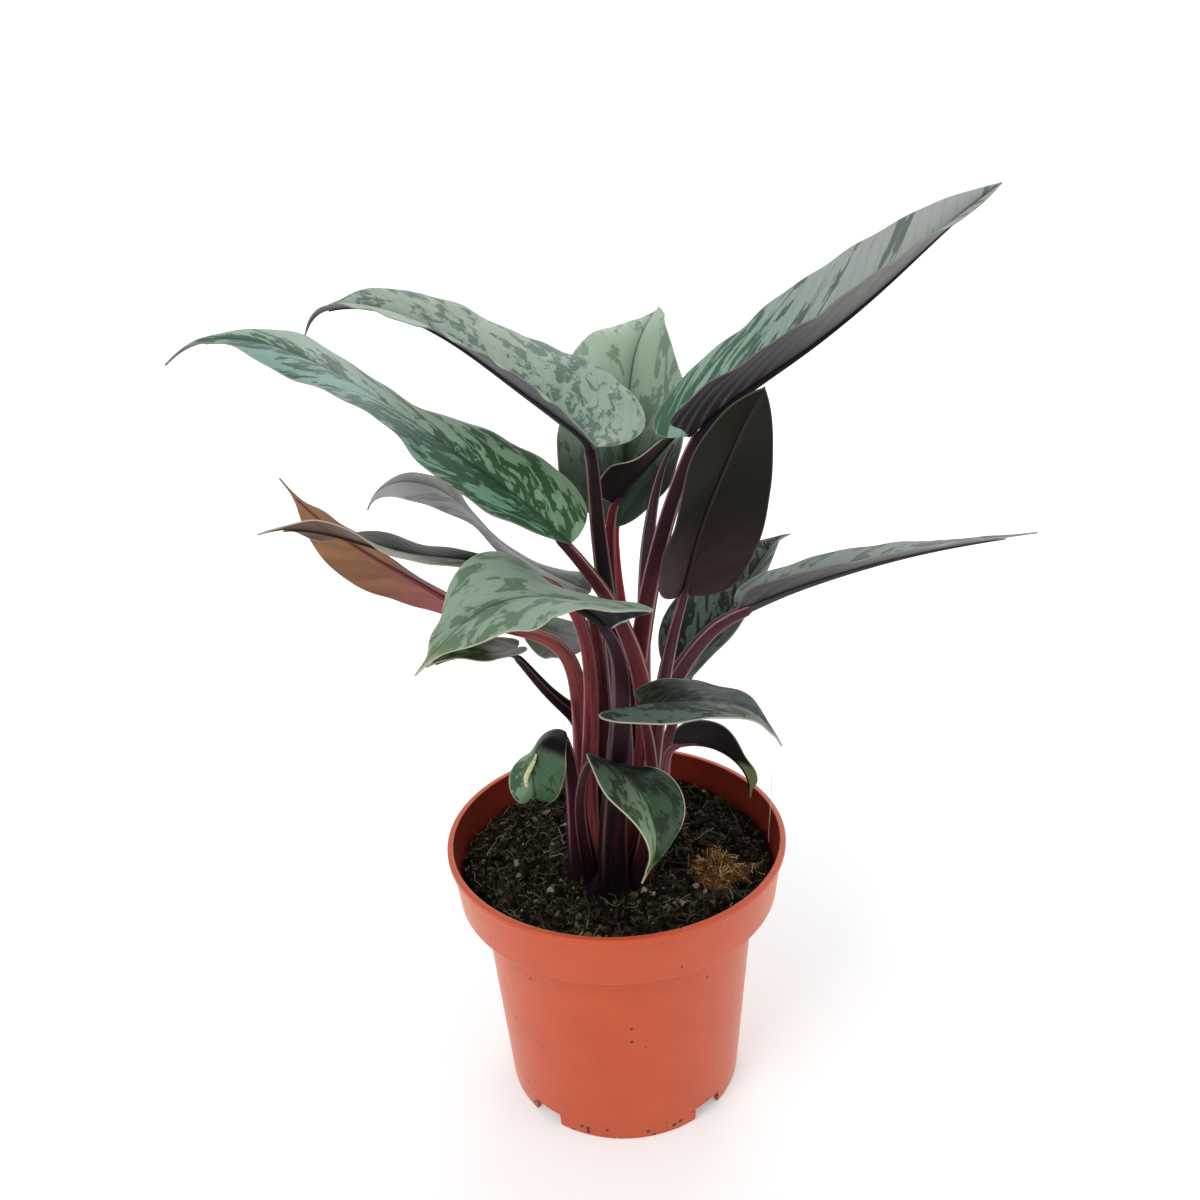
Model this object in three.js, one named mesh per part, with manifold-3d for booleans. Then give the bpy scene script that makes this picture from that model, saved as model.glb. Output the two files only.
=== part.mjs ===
// A potted aroid house plant: silver green leaves on wine red stalks, in a terracotta coloured pot.
// Millimetres, +Z up. The origin is the middle of the pot's underside, where it rests.
// The plant's front, as it is usually seen, looks along -Y, and +X is to the viewer's right.
import * as THREE from 'three';
import { mergeVertices } from 'three/addons/utils/BufferGeometryUtils.js';
import Module from 'manifold-3d';

const wasm = await Module();
wasm.setup();

// Driving dimensions of the pot, a 12 cm nursery pot
const potHeight = 101;
const rimRadius = 60;
const lipHeight = 2.6;
const bandTopRadius = 58.8;
const bandFootRadius = 56.9;
const bandHeight = 20;
const bodyTopRadius = 49.3;
const footRadius = 43.3;
const wall = 1.4;
const lipWidth = 2.2;
const lipRound = 0.4;
const footRingWidth = 1.9;
const floorRaise = 6.2;
const padRadius = 16;
const potSides = 48;
const notchWidth = 12;
const notchHeight = 5.4;
const notchDepth = 12;
const notchAngles = [-138, -42, 42, 138];
const drainCount = 8;
const drainRadius = 3.6;
const drainRing = 28;
const drainSides = 10;

// The clear space between two pieces that would touch, and between a blade and its midrib
const gap = 0.35;
const ribGap = 0.7;

// Driving dimensions of the soil, the hole that the clump stands in, and the fibre tuft on top
const soilLevel = 91;
const soilBump = 1.3;
const soilSides = 36;
const soilRingRadii = [48, 40, 32, 24, 14, 5];
const clumpCentre = [0, -8];
const clumpRadius = 16.5;
const clumpFloor = 80;
const clumpSides = 24;
const tuftCentre = [36, -15];
const tuftRadius = 9.5;
const tuftHeight = 5;
const tuftSkirt = 1.2;
const tuftRoot = 2;
const tuftSides = 16;
const tuftShares = [0.12, 0.4, 0.7, 1];

// Driving dimensions that all leaves share
const bladeThick = 0.7;
const bladeSteps = 12;
const bladeColumns = [-1, -0.5, 0, 0.5, 1];
const bladeCurl = 16;
const tipHalf = 0.7;
const endCrowding = 0.4;
const midribSteps = 48;
const lobeReach = 0.3;
const footHeight = 88;
const stalkSides = 6;
const stalkRings = 9;
const neckStation = 0.02;
const ribRings = 7;
const ribEnd = 0.88;
const ribShare = 0.75;
const ribTip = 0.35;

// One row for each leaf. base is where the stalk meets the blade, and heading, climb, left and
// right are degrees at five even stations from there to the tip: the compass heading and the
// slope of the midrib, and the rise of each half of the blade beside it. half is half the
// greatest width, lobe is how far the base lobes reach back, and foot and bends lead the stalk.
const leaves = [
  { name: 'high_left_front', base: [-10, -19, 217], length: 145, half: 23, lobe: 7,
    heading: [142, 157, 173, 181, 190], climb: [33, 32, 36, 21, -27],
    left: [25, 5, 8, -10, 20], right: [25, 10, -8, 10, 15],
    foot: [-7, -19], bends: [[24, -3, 145], [11, -17, 188]], stalk: [2.4, 1.3] },
  { name: 'high_left_back', base: [-1, -5, 243], length: 153, half: 25, lobe: 13,
    heading: [103, 125, 146, 162, 168], climb: [-1, 14, 27, 13, -31],
    left: [50, 45, 30, 10, 30], right: [0, 25, 10, 20, 35],
    foot: [-8, -2], bends: [[14, -25, 137], [-3, -11, 190]], stalk: [2.5, 1.6] },
  { name: 'high_right', base: [27, -9, 246], length: 115, half: 22, lobe: 18,
    heading: [25, 13, 2, -6, -11], climb: [37, 29, 37, 43, 37],
    left: [-10, 25, 40, 50, 80], right: [60, 40, 30, 20, -20],
    foot: [5, -10], bends: [[6, 0, 155], [11, -7, 202]], stalk: [2.8, 1.7] },
  { name: 'long_right', base: [45, 13, 179], length: 109, half: 16, lobe: 4,
    heading: [22, 14, 7, 2, -2], climb: [14, 11, 10, 7, 6],
    left: [15, 5, 0, -10, -10], right: [70, 40, 30, 25, 15],
    foot: [7, 1], bends: [[4, 10, 125], [26, 10, 176]], stalk: [2.8, 1.5] },
  { name: 'dark_upright', base: [24, -15, 197], length: 82, half: 18, lobe: 3,
    heading: [-54, -55, -55, -60, -67], climb: [72, 69, 62, 57, 45],
    left: [-40, -55, -30, -15, -15], right: [-10, -15, -15, 10, 30],
    foot: [8, -15], bends: [[11, -15, 127], [17, -12, 173]], stalk: [2.1, 1.1] },
  { name: 'back_right', base: [26, 33, 139], length: 77, half: 20.5, lobe: 2,
    heading: [22, 30, 37, 43, 46], climb: [58, 48, 44, 35, -5],
    left: [10, 35, 10, 0, 30], right: [40, 30, 30, 40, 45],
    foot: [9.2, -6.3], bends: [[16, 9, 115], [19, 27, 119]], stalk: [2.1, 1.2] },
  { name: 'back_tall', base: [3, 37, 202], length: 93, half: 27.5, lobe: 2,
    heading: [60, 69, 75, 70, 62], climb: [42, 67, 65, 32, 15],
    left: [40, 45, 45, 15, -10], right: [25, 30, 30, 45, 45],
    foot: [0, -6], bends: [[19, 6, 129], [1, 7, 178]], stalk: [2.4, 1.3] },
  { name: 'folded_centre', base: [3, 8, 221], length: 34, half: 10, lobe: 3,
    heading: [-11, -8, -4, -2, 0], climb: [46, 48, 46, 46, 41],
    left: [5, 10, 15, 20, 25], right: [40, 65, 35, 30, 35],
    foot: [1, 2], bends: [[8, 5, 138], [-2, 8, 208]], stalk: [2.0, 1.1] },
  { name: 'low_right', base: [8, -43, 173], length: 50, half: 16, lobe: 13,
    heading: [-32, -17, -8, -8, -8], climb: [28, 9, -3, -39, -66],
    left: [-10, 0, -10, -5, -15], right: [30, 5, 10, 15, -5],
    foot: [4, -19], bends: [[16, -20, 128], [12, -33, 158]], stalk: [1.8, 1.0] },
  { name: 'drooping_right', base: [22, 14, 127], length: 45, half: 11, lobe: 3,
    heading: [13, 11, 9, 6, 1], climb: [7, -19, -42, -65, -100],
    left: [-30, -20, -10, 0, 30], right: [90, 75, 30, 25, 10],
    foot: [11.7, -2], bends: [[21.5, 2, 106], [15, 11, 127]], stalk: [1.4, 0.9] },
  { name: 'small_front', base: [-7, -38, 155], length: 56, half: 13.5, lobe: 0,
    heading: [-35, -33, -35, -36, -37], climb: [-4, -33, -70, -105, -112],
    left: [-50, -20, 20, 10, 5], right: [30, 5, 20, 20, 15],
    foot: [-8.8, -14.2], bends: [[-10, -22, 114], [-14, -36, 138]], stalk: [1.6, 1.0] },
  { name: 'wide_left_front', base: [1, -45, 200], length: 67, half: 24.5, lobe: 16,
    heading: [151, 175, 202, 214, 221], climb: [43, 15, -6, -30, -34],
    left: [100, 20, 0, 10, 15], right: [30, -15, 20, -15, -20],
    foot: [-1.2, -21.5], bends: [[-4, -25, 133], [10, -37, 183]], stalk: [2.4, 1.3] },
  { name: 'twisted_left', base: [-34, 1, 203], length: 77, half: 14, lobe: 0,
    heading: [182, 190, 196, 199, 201], climb: [18, 12, 25, 20, -11],
    left: [10, 10, 10, 35, 50], right: [5, -5, 5, -35, -10],
    foot: [-4, -10], bends: [[-20, -12, 129], [17, -6, 201]], stalk: [2.1, 1.1] },
  { name: 'rosy_left', base: [-36, 9, 179], length: 89, half: 18, lobe: 1,
    heading: [168, 169, 171, 168, 165], climb: [25, 31, 31, 40, 52],
    left: [45, 30, 35, 45, 25], right: [-40, -50, -70, -85, -50],
    foot: [-9.6, -8.6], bends: [[-12, 11, 165], [-3, 3, 174]], stalk: [2.3, 1.3] },
  { name: 'grey_left', base: [-5, 11, 189], length: 94, half: 14, lobe: 5,
    heading: [174, 169, 166, 163, 159], climb: [22, 32, 46, 5, -67],
    left: [5, 10, 15, -25, -40], right: [30, -20, -25, 5, 20],
    foot: [-3, -2], bends: [[-6, 12, 147], [0, 11, 161]], stalk: [2.0, 1.1] },
  { name: 'low_left', base: [-30, -3, 175], length: 31, half: 10, lobe: 6,
    heading: [-166, -162, -159, -157, -156], climb: [-5, 6, 10, -5, -20],
    left: [40, 15, 10, 20, 20], right: [-10, 10, 10, 5, -5],
    foot: [-12, -4], bends: [[-7, 27, 155], [-7, 4, 130]], stalk: [1.8, 1.0] },
  { name: 'curled_left', base: [-15, -17, 151], length: 41, half: 11, lobe: 0,
    heading: [-159, -132, -106, -84, -68], climb: [22, -30, -84, -130, -170],
    left: [-10, -10, -10, 20, 60], right: [-5, -45, -40, 10, 50],
    foot: [-12.9, -12.2], bends: [[-14, -12, 111], [-13, -11, 138]], stalk: [2.0, 1.1] },
  { name: 'back_left', base: [-3, 20, 167], length: 69, half: 14, lobe: 3,
    heading: [106, 113, 122, 133, 142], climb: [-25, -18, -12, 5, 20],
    left: [-25, -20, -25, -30, -30], right: [0, 0, 0, 0, 0],
    foot: [-4, 3], bends: [[-4, 16, 130], [0, 11, 171]], stalk: [1.8, 1.0] },
];

// The newest leaf, still rolled to a slim spear beside the tall right stalk. It tapers from
// spearShoulder, a share of its length, to a blunt tip.
const spearRings = 12;
const spearShoulder = 0.7;
const spearTip = 0.25;
const spear = {
  foot: [12, -11.5],
  bends: [[12, 0, 126], [8, 7, 219]],
  tip: [23, -4, 243],
  stalk: [2.4, 2.3],
};

const radians = Math.PI / 180;

// The value at s, from 0 to 1, of a list of values at even stations
function along(list, s) {
  const place = s * (list.length - 1);
  const first = Math.min(Math.floor(place), list.length - 2);
  return THREE.MathUtils.lerp(list[first], list[first + 1], place - first);
}

// The midrib's direction, the blade's right-hand side and its upper side at s
function leafAxes(leaf, s) {
  const heading = along(leaf.heading, s) * radians;
  const climb = along(leaf.climb, s) * radians;
  const level = Math.cos(climb);
  const ahead = new THREE.Vector3(Math.cos(heading) * level, Math.sin(heading) * level, Math.sin(climb));
  const side = new THREE.Vector3(Math.sin(heading), -Math.cos(heading), 0);
  const up = new THREE.Vector3().crossVectors(side, ahead);
  return { ahead, side, up };
}

// The midrib's point at s, walked from the base along the leaf's own direction
function midribPoint(leaf, s) {
  const stride = leaf.length / midribSteps;
  const point = new THREE.Vector3(...leaf.base);
  for (let i = 0; i < midribSteps; i += 1) {
    const part = THREE.MathUtils.clamp(s * midribSteps - i, 0, 1);
    point.addScaledVector(leafAxes(leaf, (i + 0.5) / midribSteps).ahead, stride * part);
  }
  return point;
}

// Half the width at s, as a share of the greatest: a rounded base and a drawn-out tip
function outline(s) {
  const base = 0.55;
  const tip = 0.95;
  const widest = base ** base * tip ** tip / (base + tip) ** (base + tip);
  return s ** base * (1 - s) ** tip / widest;
}

// A direction that leans from the right-hand side towards the upper side by an angle
function leaning(axes, angle) {
  return axes.side.clone().multiplyScalar(Math.cos(angle)).addScaledVector(axes.up, Math.sin(angle));
}

// The blade's mid-surface point and upward normal at s, with v from -1 at the left edge to 1
function bladePoint(leaf, s, v) {
  const axes = leafAxes(leaf, s);
  const point = midribPoint(leaf, s);
  const left = along(leaf.left, s);
  const right = along(leaf.right, s);
  if (v === 0) {
    const roll = (right - left) / 2 * radians;
    return { point, normal: leaning(axes, roll + Math.PI / 2) };
  }
  const rise = (v < 0 ? left : right) + bladeCurl * (1 - Math.abs(v)) / 2;
  const across = Math.abs(v) * Math.max(leaf.half * outline(s), tipHalf);
  const angle = v < 0 ? Math.PI - rise * radians : rise * radians;
  const tilt = bladeCurl * Math.abs(v) / 2 * radians * Math.sign(v);
  const back = leaf.lobe * Math.sin(Math.PI * Math.min(1, s / lobeReach)) * Math.abs(v);
  point.addScaledVector(leaning(axes, angle), across);
  point.addScaledVector(axes.ahead, -back);
  const turned = v < 0 ? angle - Math.PI / 2 : angle + Math.PI / 2;
  return { point, normal: leaning(axes, turned - tilt) };
}

// A closed body from a list of rings of points, with a fan over each end
function loft(rings) {
  const sides = rings[0].length;
  const points = rings.flat();
  const faces = [];
  for (let i = 0; i < rings.length - 1; i += 1) {
    for (let j = 0; j < sides; j += 1) {
      const a = i * sides + j;
      const b = i * sides + (j + 1) % sides;
      faces.push(a, b, b + sides, a, b + sides, a + sides);
    }
  }
  const last = (rings.length - 1) * sides;
  for (let j = 1; j < sides - 1; j += 1) {
    faces.push(0, j + 1, j);
    faces.push(last, last + j, last + j + 1);
  }
  return body(points, faces);
}

// A geometry from shared points and triangles
function body(points, faces) {
  const geometry = new THREE.BufferGeometry().setFromPoints(points);
  geometry.setIndex(faces);
  return geometry;
}

// The blade: two skins split alike, a thickness apart, closed round the edge
function bladeGeometry(leaf) {
  const points = [];
  const rows = bladeSteps + 1;
  const columns = bladeColumns.length;
  for (const face of [1, -1]) {
    for (let i = 0; i < rows; i += 1) {
      const t = i / bladeSteps;
      const s = THREE.MathUtils.lerp(t, t * t * (3 - 2 * t), endCrowding);
      for (const v of bladeColumns) {
        const { point, normal } = bladePoint(leaf, s, v);
        points.push(point.addScaledVector(normal, face * bladeThick / 2));
      }
    }
  }
  const under = rows * columns;
  const faces = [];
  const pair = (a, b, c) => faces.push(a, b, c, under + a, under + c, under + b);
  for (let i = 0; i < bladeSteps; i += 1) {
    for (let j = 0; j < columns - 1; j += 1) {
      const a = i * columns + j;
      const b = a + columns;
      if (bladeColumns[j] < 0) {
        pair(a, a + 1, b + 1);
        pair(a, b + 1, b);
      } else {
        pair(a, a + 1, b);
        pair(a + 1, b + 1, b);
      }
    }
  }
  const rim = [];
  for (let j = 0; j < columns - 1; j += 1) rim.push(j);
  for (let i = 0; i < bladeSteps; i += 1) rim.push(i * columns + columns - 1);
  for (let j = columns - 1; j > 0; j -= 1) rim.push(bladeSteps * columns + j);
  for (let i = bladeSteps; i > 0; i -= 1) rim.push(i * columns);
  for (let k = 0; k < rim.length; k += 1) {
    const a = rim[k];
    const b = rim[(k + 1) % rim.length];
    faces.push(b, a, under + a, b, under + a, under + b);
  }
  return body(points, faces);
}

// A round rod along a path of points with a radius at each, its section carried without twist
function rodGeometry(path, radii) {
  const rings = [];
  const side = new THREE.Vector3(1, 0, 0);
  path.forEach((point, i) => {
    const before = path[Math.max(i - 1, 0)];
    const after = path[Math.min(i + 1, path.length - 1)];
    const ahead = after.clone().sub(before).normalize();
    side.addScaledVector(ahead, -side.dot(ahead)).normalize();
    const other = new THREE.Vector3().crossVectors(ahead, side);
    const ring = [];
    for (let j = 0; j < stalkSides; j += 1) {
      const turn = j / stalkSides * 2 * Math.PI;
      const corner = point.clone().addScaledVector(side, radii[i] * Math.cos(turn));
      ring.push(corner.addScaledVector(other, radii[i] * Math.sin(turn)));
    }
    rings.push(ring);
  });
  return loft(rings);
}

// The middle of the midrib's rod at s, which runs a small gap below the blade
function ribPoint(leaf, s, radius) {
  const axes = leafAxes(leaf, s);
  const left = along(leaf.left, s);
  const right = along(leaf.right, s);
  const droop = Math.max(0, -(left + right) / 2 - bladeCurl / 2);
  const depth = (radius + ribGap + bladeThick / 2) / Math.cos(droop * radians);
  const down = leaning(axes, (right - left) / 2 * radians - Math.PI / 2);
  return midribPoint(leaf, s).addScaledVector(down, depth);
}

// The stalk from its foot in the soil up to the blade, and on under it as the midrib
function stalkGeometry(leaf) {
  const [footSize, neckSize] = leaf.stalk;
  const foot = new THREE.Vector3(leaf.foot[0], leaf.foot[1], footHeight);
  const bends = leaf.bends.map((bend) => new THREE.Vector3(...bend));
  const neck = ribPoint(leaf, neckStation, neckSize);
  const curve = new THREE.CubicBezierCurve3(foot, bends[0], bends[1], neck);
  const path = [new THREE.Vector3(leaf.foot[0], leaf.foot[1], clumpFloor + gap)];
  const radii = [footSize];
  for (let i = 0; i <= stalkRings; i += 1) {
    path.push(curve.getPoint(i / stalkRings));
    radii.push(THREE.MathUtils.lerp(footSize, neckSize, i / stalkRings));
  }
  for (let i = 1; i <= ribRings; i += 1) {
    const s = i / ribRings * ribEnd;
    const radius = THREE.MathUtils.lerp(neckSize * ribShare, ribTip, i / ribRings);
    path.push(ribPoint(leaf, s, radius));
    radii.push(radius);
  }
  return rodGeometry(path, radii);
}

// The rolled spear: a stalk that narrows to a point
function spearGeometry() {
  const [footSize, neckSize] = spear.stalk;
  const foot = new THREE.Vector3(spear.foot[0], spear.foot[1], footHeight);
  const bends = spear.bends.map((bend) => new THREE.Vector3(...bend));
  const curve = new THREE.CubicBezierCurve3(foot, bends[0], bends[1], new THREE.Vector3(...spear.tip));
  const path = [new THREE.Vector3(spear.foot[0], spear.foot[1], clumpFloor + gap)];
  const radii = [footSize];
  for (let i = 0; i <= spearRings; i += 1) {
    const t = i / spearRings;
    const taper = Math.min(1, (1 - t) / (1 - spearShoulder));
    path.push(curve.getPoint(t));
    radii.push(THREE.MathUtils.lerp(footSize, neckSize, t) * taper + spearTip * (1 - taper));
  }
  return rodGeometry(path, radii);
}

// A closed geometry as a solid that can be cut
function solid(geometry) {
  const bare = geometry.clone();
  bare.deleteAttribute('normal');
  bare.deleteAttribute('uv');
  const shared = mergeVertices(bare, 1e-4);
  const vertProperties = new Float32Array(shared.attributes.position.array);
  const triVerts = new Uint32Array(shared.index.array);
  return new wasm.Manifold(new wasm.Mesh({ numProp: 3, vertProperties, triVerts }));
}

// A cut solid as a geometry again
function geometryOf(cut) {
  const mesh = cut.getMesh();
  const geometry = new THREE.BufferGeometry();
  geometry.setAttribute('position', new THREE.BufferAttribute(mesh.vertProperties, 3));
  geometry.setIndex(new THREE.BufferAttribute(mesh.triVerts, 1));
  return geometry;
}

// The pot's wall as a closed outline turned about the pot's axis, before the cuts
function potShell() {
  const bandFoot = potHeight - bandHeight;
  const lipFoot = potHeight - lipHeight;
  const bandStep = 0.7;
  const draft = 1;
  const profile = [
    [0, 0], [padRadius, 0], [padRadius + draft, floorRaise], [footRadius - footRingWidth, floorRaise],
    [footRadius - footRingWidth + lipRound, 0], [footRadius, 0], [bodyTopRadius, bandFoot - bandStep],
    [bandFootRadius, bandFoot], [bandTopRadius, lipFoot], [rimRadius, lipFoot + lipRound],
    [rimRadius, potHeight - lipRound], [rimRadius - lipRound, potHeight],
    [rimRadius - lipWidth + lipRound, potHeight], [rimRadius - lipWidth, lipFoot],
    [bandFootRadius - wall, bandFoot + wall], [bodyTopRadius - wall, bandFoot + wall - bandStep],
    [footRadius - wall + lipRound, floorRaise + wall], [padRadius + draft + wall, floorRaise + wall],
    [padRadius + draft - wall, wall], [0, wall],
  ];
  return new THREE.LatheGeometry(profile.map(([r, z]) => new THREE.Vector2(r, z)), potSides);
}

// A LatheGeometry stands along Y, so it is turned up to stand along Z
function stood(geometry) {
  return geometry.rotateX(Math.PI / 2);
}

// The pot: the shell less four notches in its foot ring and a ring of drain holes
function potGeometry() {
  let pot = solid(stood(potShell()));
  for (const angle of notchAngles) {
    const notch = new THREE.BoxGeometry(notchDepth, notchWidth, notchHeight * 2);
    notch.translate(footRadius, 0, 0).rotateZ((angle - 90) * radians);
    pot = pot.subtract(solid(notch));
  }
  for (let i = 0; i < drainCount; i += 1) {
    const drain = new THREE.CylinderGeometry(drainRadius, drainRadius, wall * 4, drainSides);
    drain.rotateX(Math.PI / 2).translate(drainRing, 0, floorRaise + wall / 2);
    drain.rotateZ((i + 0.5) / drainCount * 2 * Math.PI);
    pot = pot.subtract(solid(drain));
  }
  return geometryOf(pot);
}

// The soil's uneven top: low waves that die out at the wall
function soilTop(x, y) {
  const waves = Math.sin(x * 0.19 + 1) * Math.cos(y * 0.23) + 0.6 * Math.sin(x * 0.41 - y * 0.37 + 2);
  const edge = Math.hypot(x, y) / bandFootRadius;
  return soilLevel + soilBump * (waves * 0.6 - edge ** 4);
}

// The soil: a plug that fills the pot, with one plain round hole for the clump of stalks
function soilGeometry() {
  const clear = wall + 2 * gap;
  const floor = floorRaise + wall + gap;
  const ledge = potHeight - bandHeight + wall;
  const draft = 1;
  const ring = (radius, height) => Array.from({ length: soilSides }, (_, j) => {
    const angle = j / soilSides * 2 * Math.PI;
    const x = radius * Math.cos(angle);
    const y = radius * Math.sin(angle);
    return new THREE.Vector3(x, y, height ?? soilTop(x, y));
  });
  const rings = [
    ring(padRadius + draft + clear, floor),
    ring(footRadius - clear, floor),
    ring(bodyTopRadius - clear, ledge - gap),
    ring(bandFootRadius - clear - gap, ledge + 2 * gap),
    ring(bandFootRadius - clear - gap),
  ];
  for (const radius of soilRingRadii) rings.push(ring(radius));
  const depth = potHeight - clumpFloor;
  const hole = new THREE.CylinderGeometry(clumpRadius, clumpRadius, depth, clumpSides);
  hole.rotateX(Math.PI / 2).translate(clumpCentre[0], clumpCentre[1], clumpFloor + depth / 2);
  return geometryOf(solid(loft(rings)).subtract(solid(hole)));
}

// The tuft of brown fibre: a low ragged mound, cut to the soil that it lies on
function tuftGeometry(soil) {
  const squash = 0.8;
  const ring = (share, top) => Array.from({ length: tuftSides }, (_, j) => {
    const angle = j / tuftSides * 2 * Math.PI;
    const ragged = 1 + 0.13 * Math.sin(angle * 3 + 1) + 0.08 * Math.sin(angle * 7);
    const x = tuftCentre[0] + tuftRadius * share * ragged * Math.cos(angle);
    const y = tuftCentre[1] + tuftRadius * squash * share * ragged * Math.sin(angle);
    const lump = tuftHeight * (1 - share ** 2.4) * (1 + 0.16 * Math.sin(angle * 5 + share * 6));
    return new THREE.Vector3(x, y, soilTop(x, y) + (top ? tuftSkirt + lump : -tuftRoot));
  });
  const rings = tuftShares.map((share) => ring(share, false));
  const upper = tuftShares.slice().reverse().map((share) => ring(share, true));
  const raised = soil.clone().translate(0, 0, gap);
  return geometryOf(solid(loft(rings.concat(upper))).subtract(solid(raised)));
}

const looks = {
  pot: new THREE.MeshStandardMaterial({ color: 0xc4603c, roughness: 0.5, metalness: 0 }),
  soil: new THREE.MeshStandardMaterial({ color: 0x241c14, roughness: 0.95, metalness: 0 }),
  fibre: new THREE.MeshStandardMaterial({ color: 0x5f4127, roughness: 0.95, metalness: 0 }),
  blade: new THREE.MeshStandardMaterial({ color: 0x6f8f7d, roughness: 0.5, metalness: 0 }),
  stalk: new THREE.MeshStandardMaterial({ color: 0x7d2f3c, roughness: 0.4, metalness: 0 }),
};

// A named mesh with a material of its own, added to the plant
function place(name, geometry, look) {
  const mesh = new THREE.Mesh(geometry, look.clone());
  mesh.name = name;
  plant.add(mesh);
}

const plant = new THREE.Group();
place('pot', potGeometry(), looks.pot);
const soil = soilGeometry();
place('soil', soil, looks.soil);
place('fibre_tuft', tuftGeometry(soil), looks.fibre);
for (const leaf of leaves) {
  place(`blade_${leaf.name}`, bladeGeometry(leaf), looks.blade);
  place(`stalk_${leaf.name}`, stalkGeometry(leaf), looks.stalk);
}
place('stalk_new_spear', spearGeometry(), looks.stalk);

export default plant;
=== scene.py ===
# The looks of a potted aroid house plant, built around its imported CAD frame.
# Metres, +Z up. The plant's usual front looks along -Y, as in the CAD.
import math

import bpy
import numpy as np
from mathutils import Matrix, Vector, noise


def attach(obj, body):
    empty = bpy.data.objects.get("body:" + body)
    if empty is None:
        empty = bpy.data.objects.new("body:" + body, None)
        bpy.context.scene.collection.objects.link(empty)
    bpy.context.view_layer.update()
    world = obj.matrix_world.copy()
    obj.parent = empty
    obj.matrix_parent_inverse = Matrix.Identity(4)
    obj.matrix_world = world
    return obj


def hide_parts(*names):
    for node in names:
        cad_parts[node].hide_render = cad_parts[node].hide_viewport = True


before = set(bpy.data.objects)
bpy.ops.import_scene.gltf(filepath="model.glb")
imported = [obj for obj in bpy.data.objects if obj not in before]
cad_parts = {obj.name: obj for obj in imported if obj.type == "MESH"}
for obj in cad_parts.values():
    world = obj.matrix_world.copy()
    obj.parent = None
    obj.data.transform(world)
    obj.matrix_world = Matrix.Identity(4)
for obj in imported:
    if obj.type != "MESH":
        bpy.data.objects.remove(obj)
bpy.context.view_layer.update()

# Camera. It stands in front of the plant and a little above it, at the distance and the tilt
# that the pot's rim, band and foot were measured with.
camera_place = Vector((0, -0.3475, 0.3352))
camera_pitch, camera_yaw, camera_roll = (math.radians(a) for a in (22.63, -0.32, -2.59))
level_ahead = Vector((math.sin(camera_yaw), math.cos(camera_yaw), 0))
ahead = level_ahead * math.cos(camera_pitch) - Vector((0, 0, math.sin(camera_pitch)))
level_right = Vector((math.cos(camera_yaw), -math.sin(camera_yaw), 0))
level_up = level_right.cross(ahead)
right = level_right * math.cos(camera_roll) + level_up * math.sin(camera_roll)
up = level_up * math.cos(camera_roll) - level_right * math.sin(camera_roll)
camera = bpy.data.objects.new("Camera", bpy.data.cameras.new("Camera"))
camera.matrix_world = Matrix((right, up, -ahead)).transposed().to_4x4()
camera.location = camera_place
camera.data.sensor_width = 36
camera.data.lens = 34.5
camera.data.clip_start = 0.01
bpy.context.scene.collection.objects.link(camera)
bpy.context.scene.camera = camera


# Studio. A plain white floor that sweeps up behind the plant under a white sky, and glows a little,
# least near the pot, where its faint shadow falls. One large soft lamp stands at the front left, a
# weaker one at the right and one behind that lifts the edges.
class Value:
    """A socket in a node tree. Arithmetic on it adds the Math nodes that work it out."""

    def __init__(self, owner, socket):
        self.owner, self.socket = owner, socket

    def maths(self, operation, *numbers):
        return self.owner.node("Math", {"operation": operation}, dict(enumerate(numbers)))

    def __add__(self, other):
        return self.maths("ADD", self, other)

    def __mul__(self, other):
        return self.maths("MULTIPLY", self, other)

    def __sub__(self, other):
        return self.maths("SUBTRACT", self, other)

    def __rsub__(self, other):
        return self.maths("SUBTRACT", other, self)

    def __abs__(self):
        return self.maths("ABSOLUTE", self)

    __radd__ = __add__
    __rmul__ = __mul__


class Tree:
    """A node tree. One method makes all its nodes, and one sets or links their sockets."""

    def set(self, sockets, node):
        for key, value in sockets.items():
            socket = node.inputs[key]
            if isinstance(value, Value):
                self.tree.links.new(value.socket, socket)
            elif hasattr(value, "__len__") and len(socket.default_value) > len(value):
                socket.default_value = (*value, 1)
            else:
                socket.default_value = value

    def node(self, kind, settings={}, sockets={}, output=0):
        prefix = "" if kind.startswith(("Geometry", "Function")) else "ShaderNode"
        made = self.tree.nodes.new(prefix + kind)
        for key, value in settings.items():
            if key == "stops":
                ramp = made.color_ramp
                while len(ramp.elements) < len(value):
                    ramp.elements.new(0.5)
                for element, (place, colour) in zip(ramp.elements, value):
                    element.position = place
                    element.color = (*colour, 1)
            else:
                setattr(made, key, value)
        self.set(sockets, made)
        return Value(self, made.outputs[output])


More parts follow.
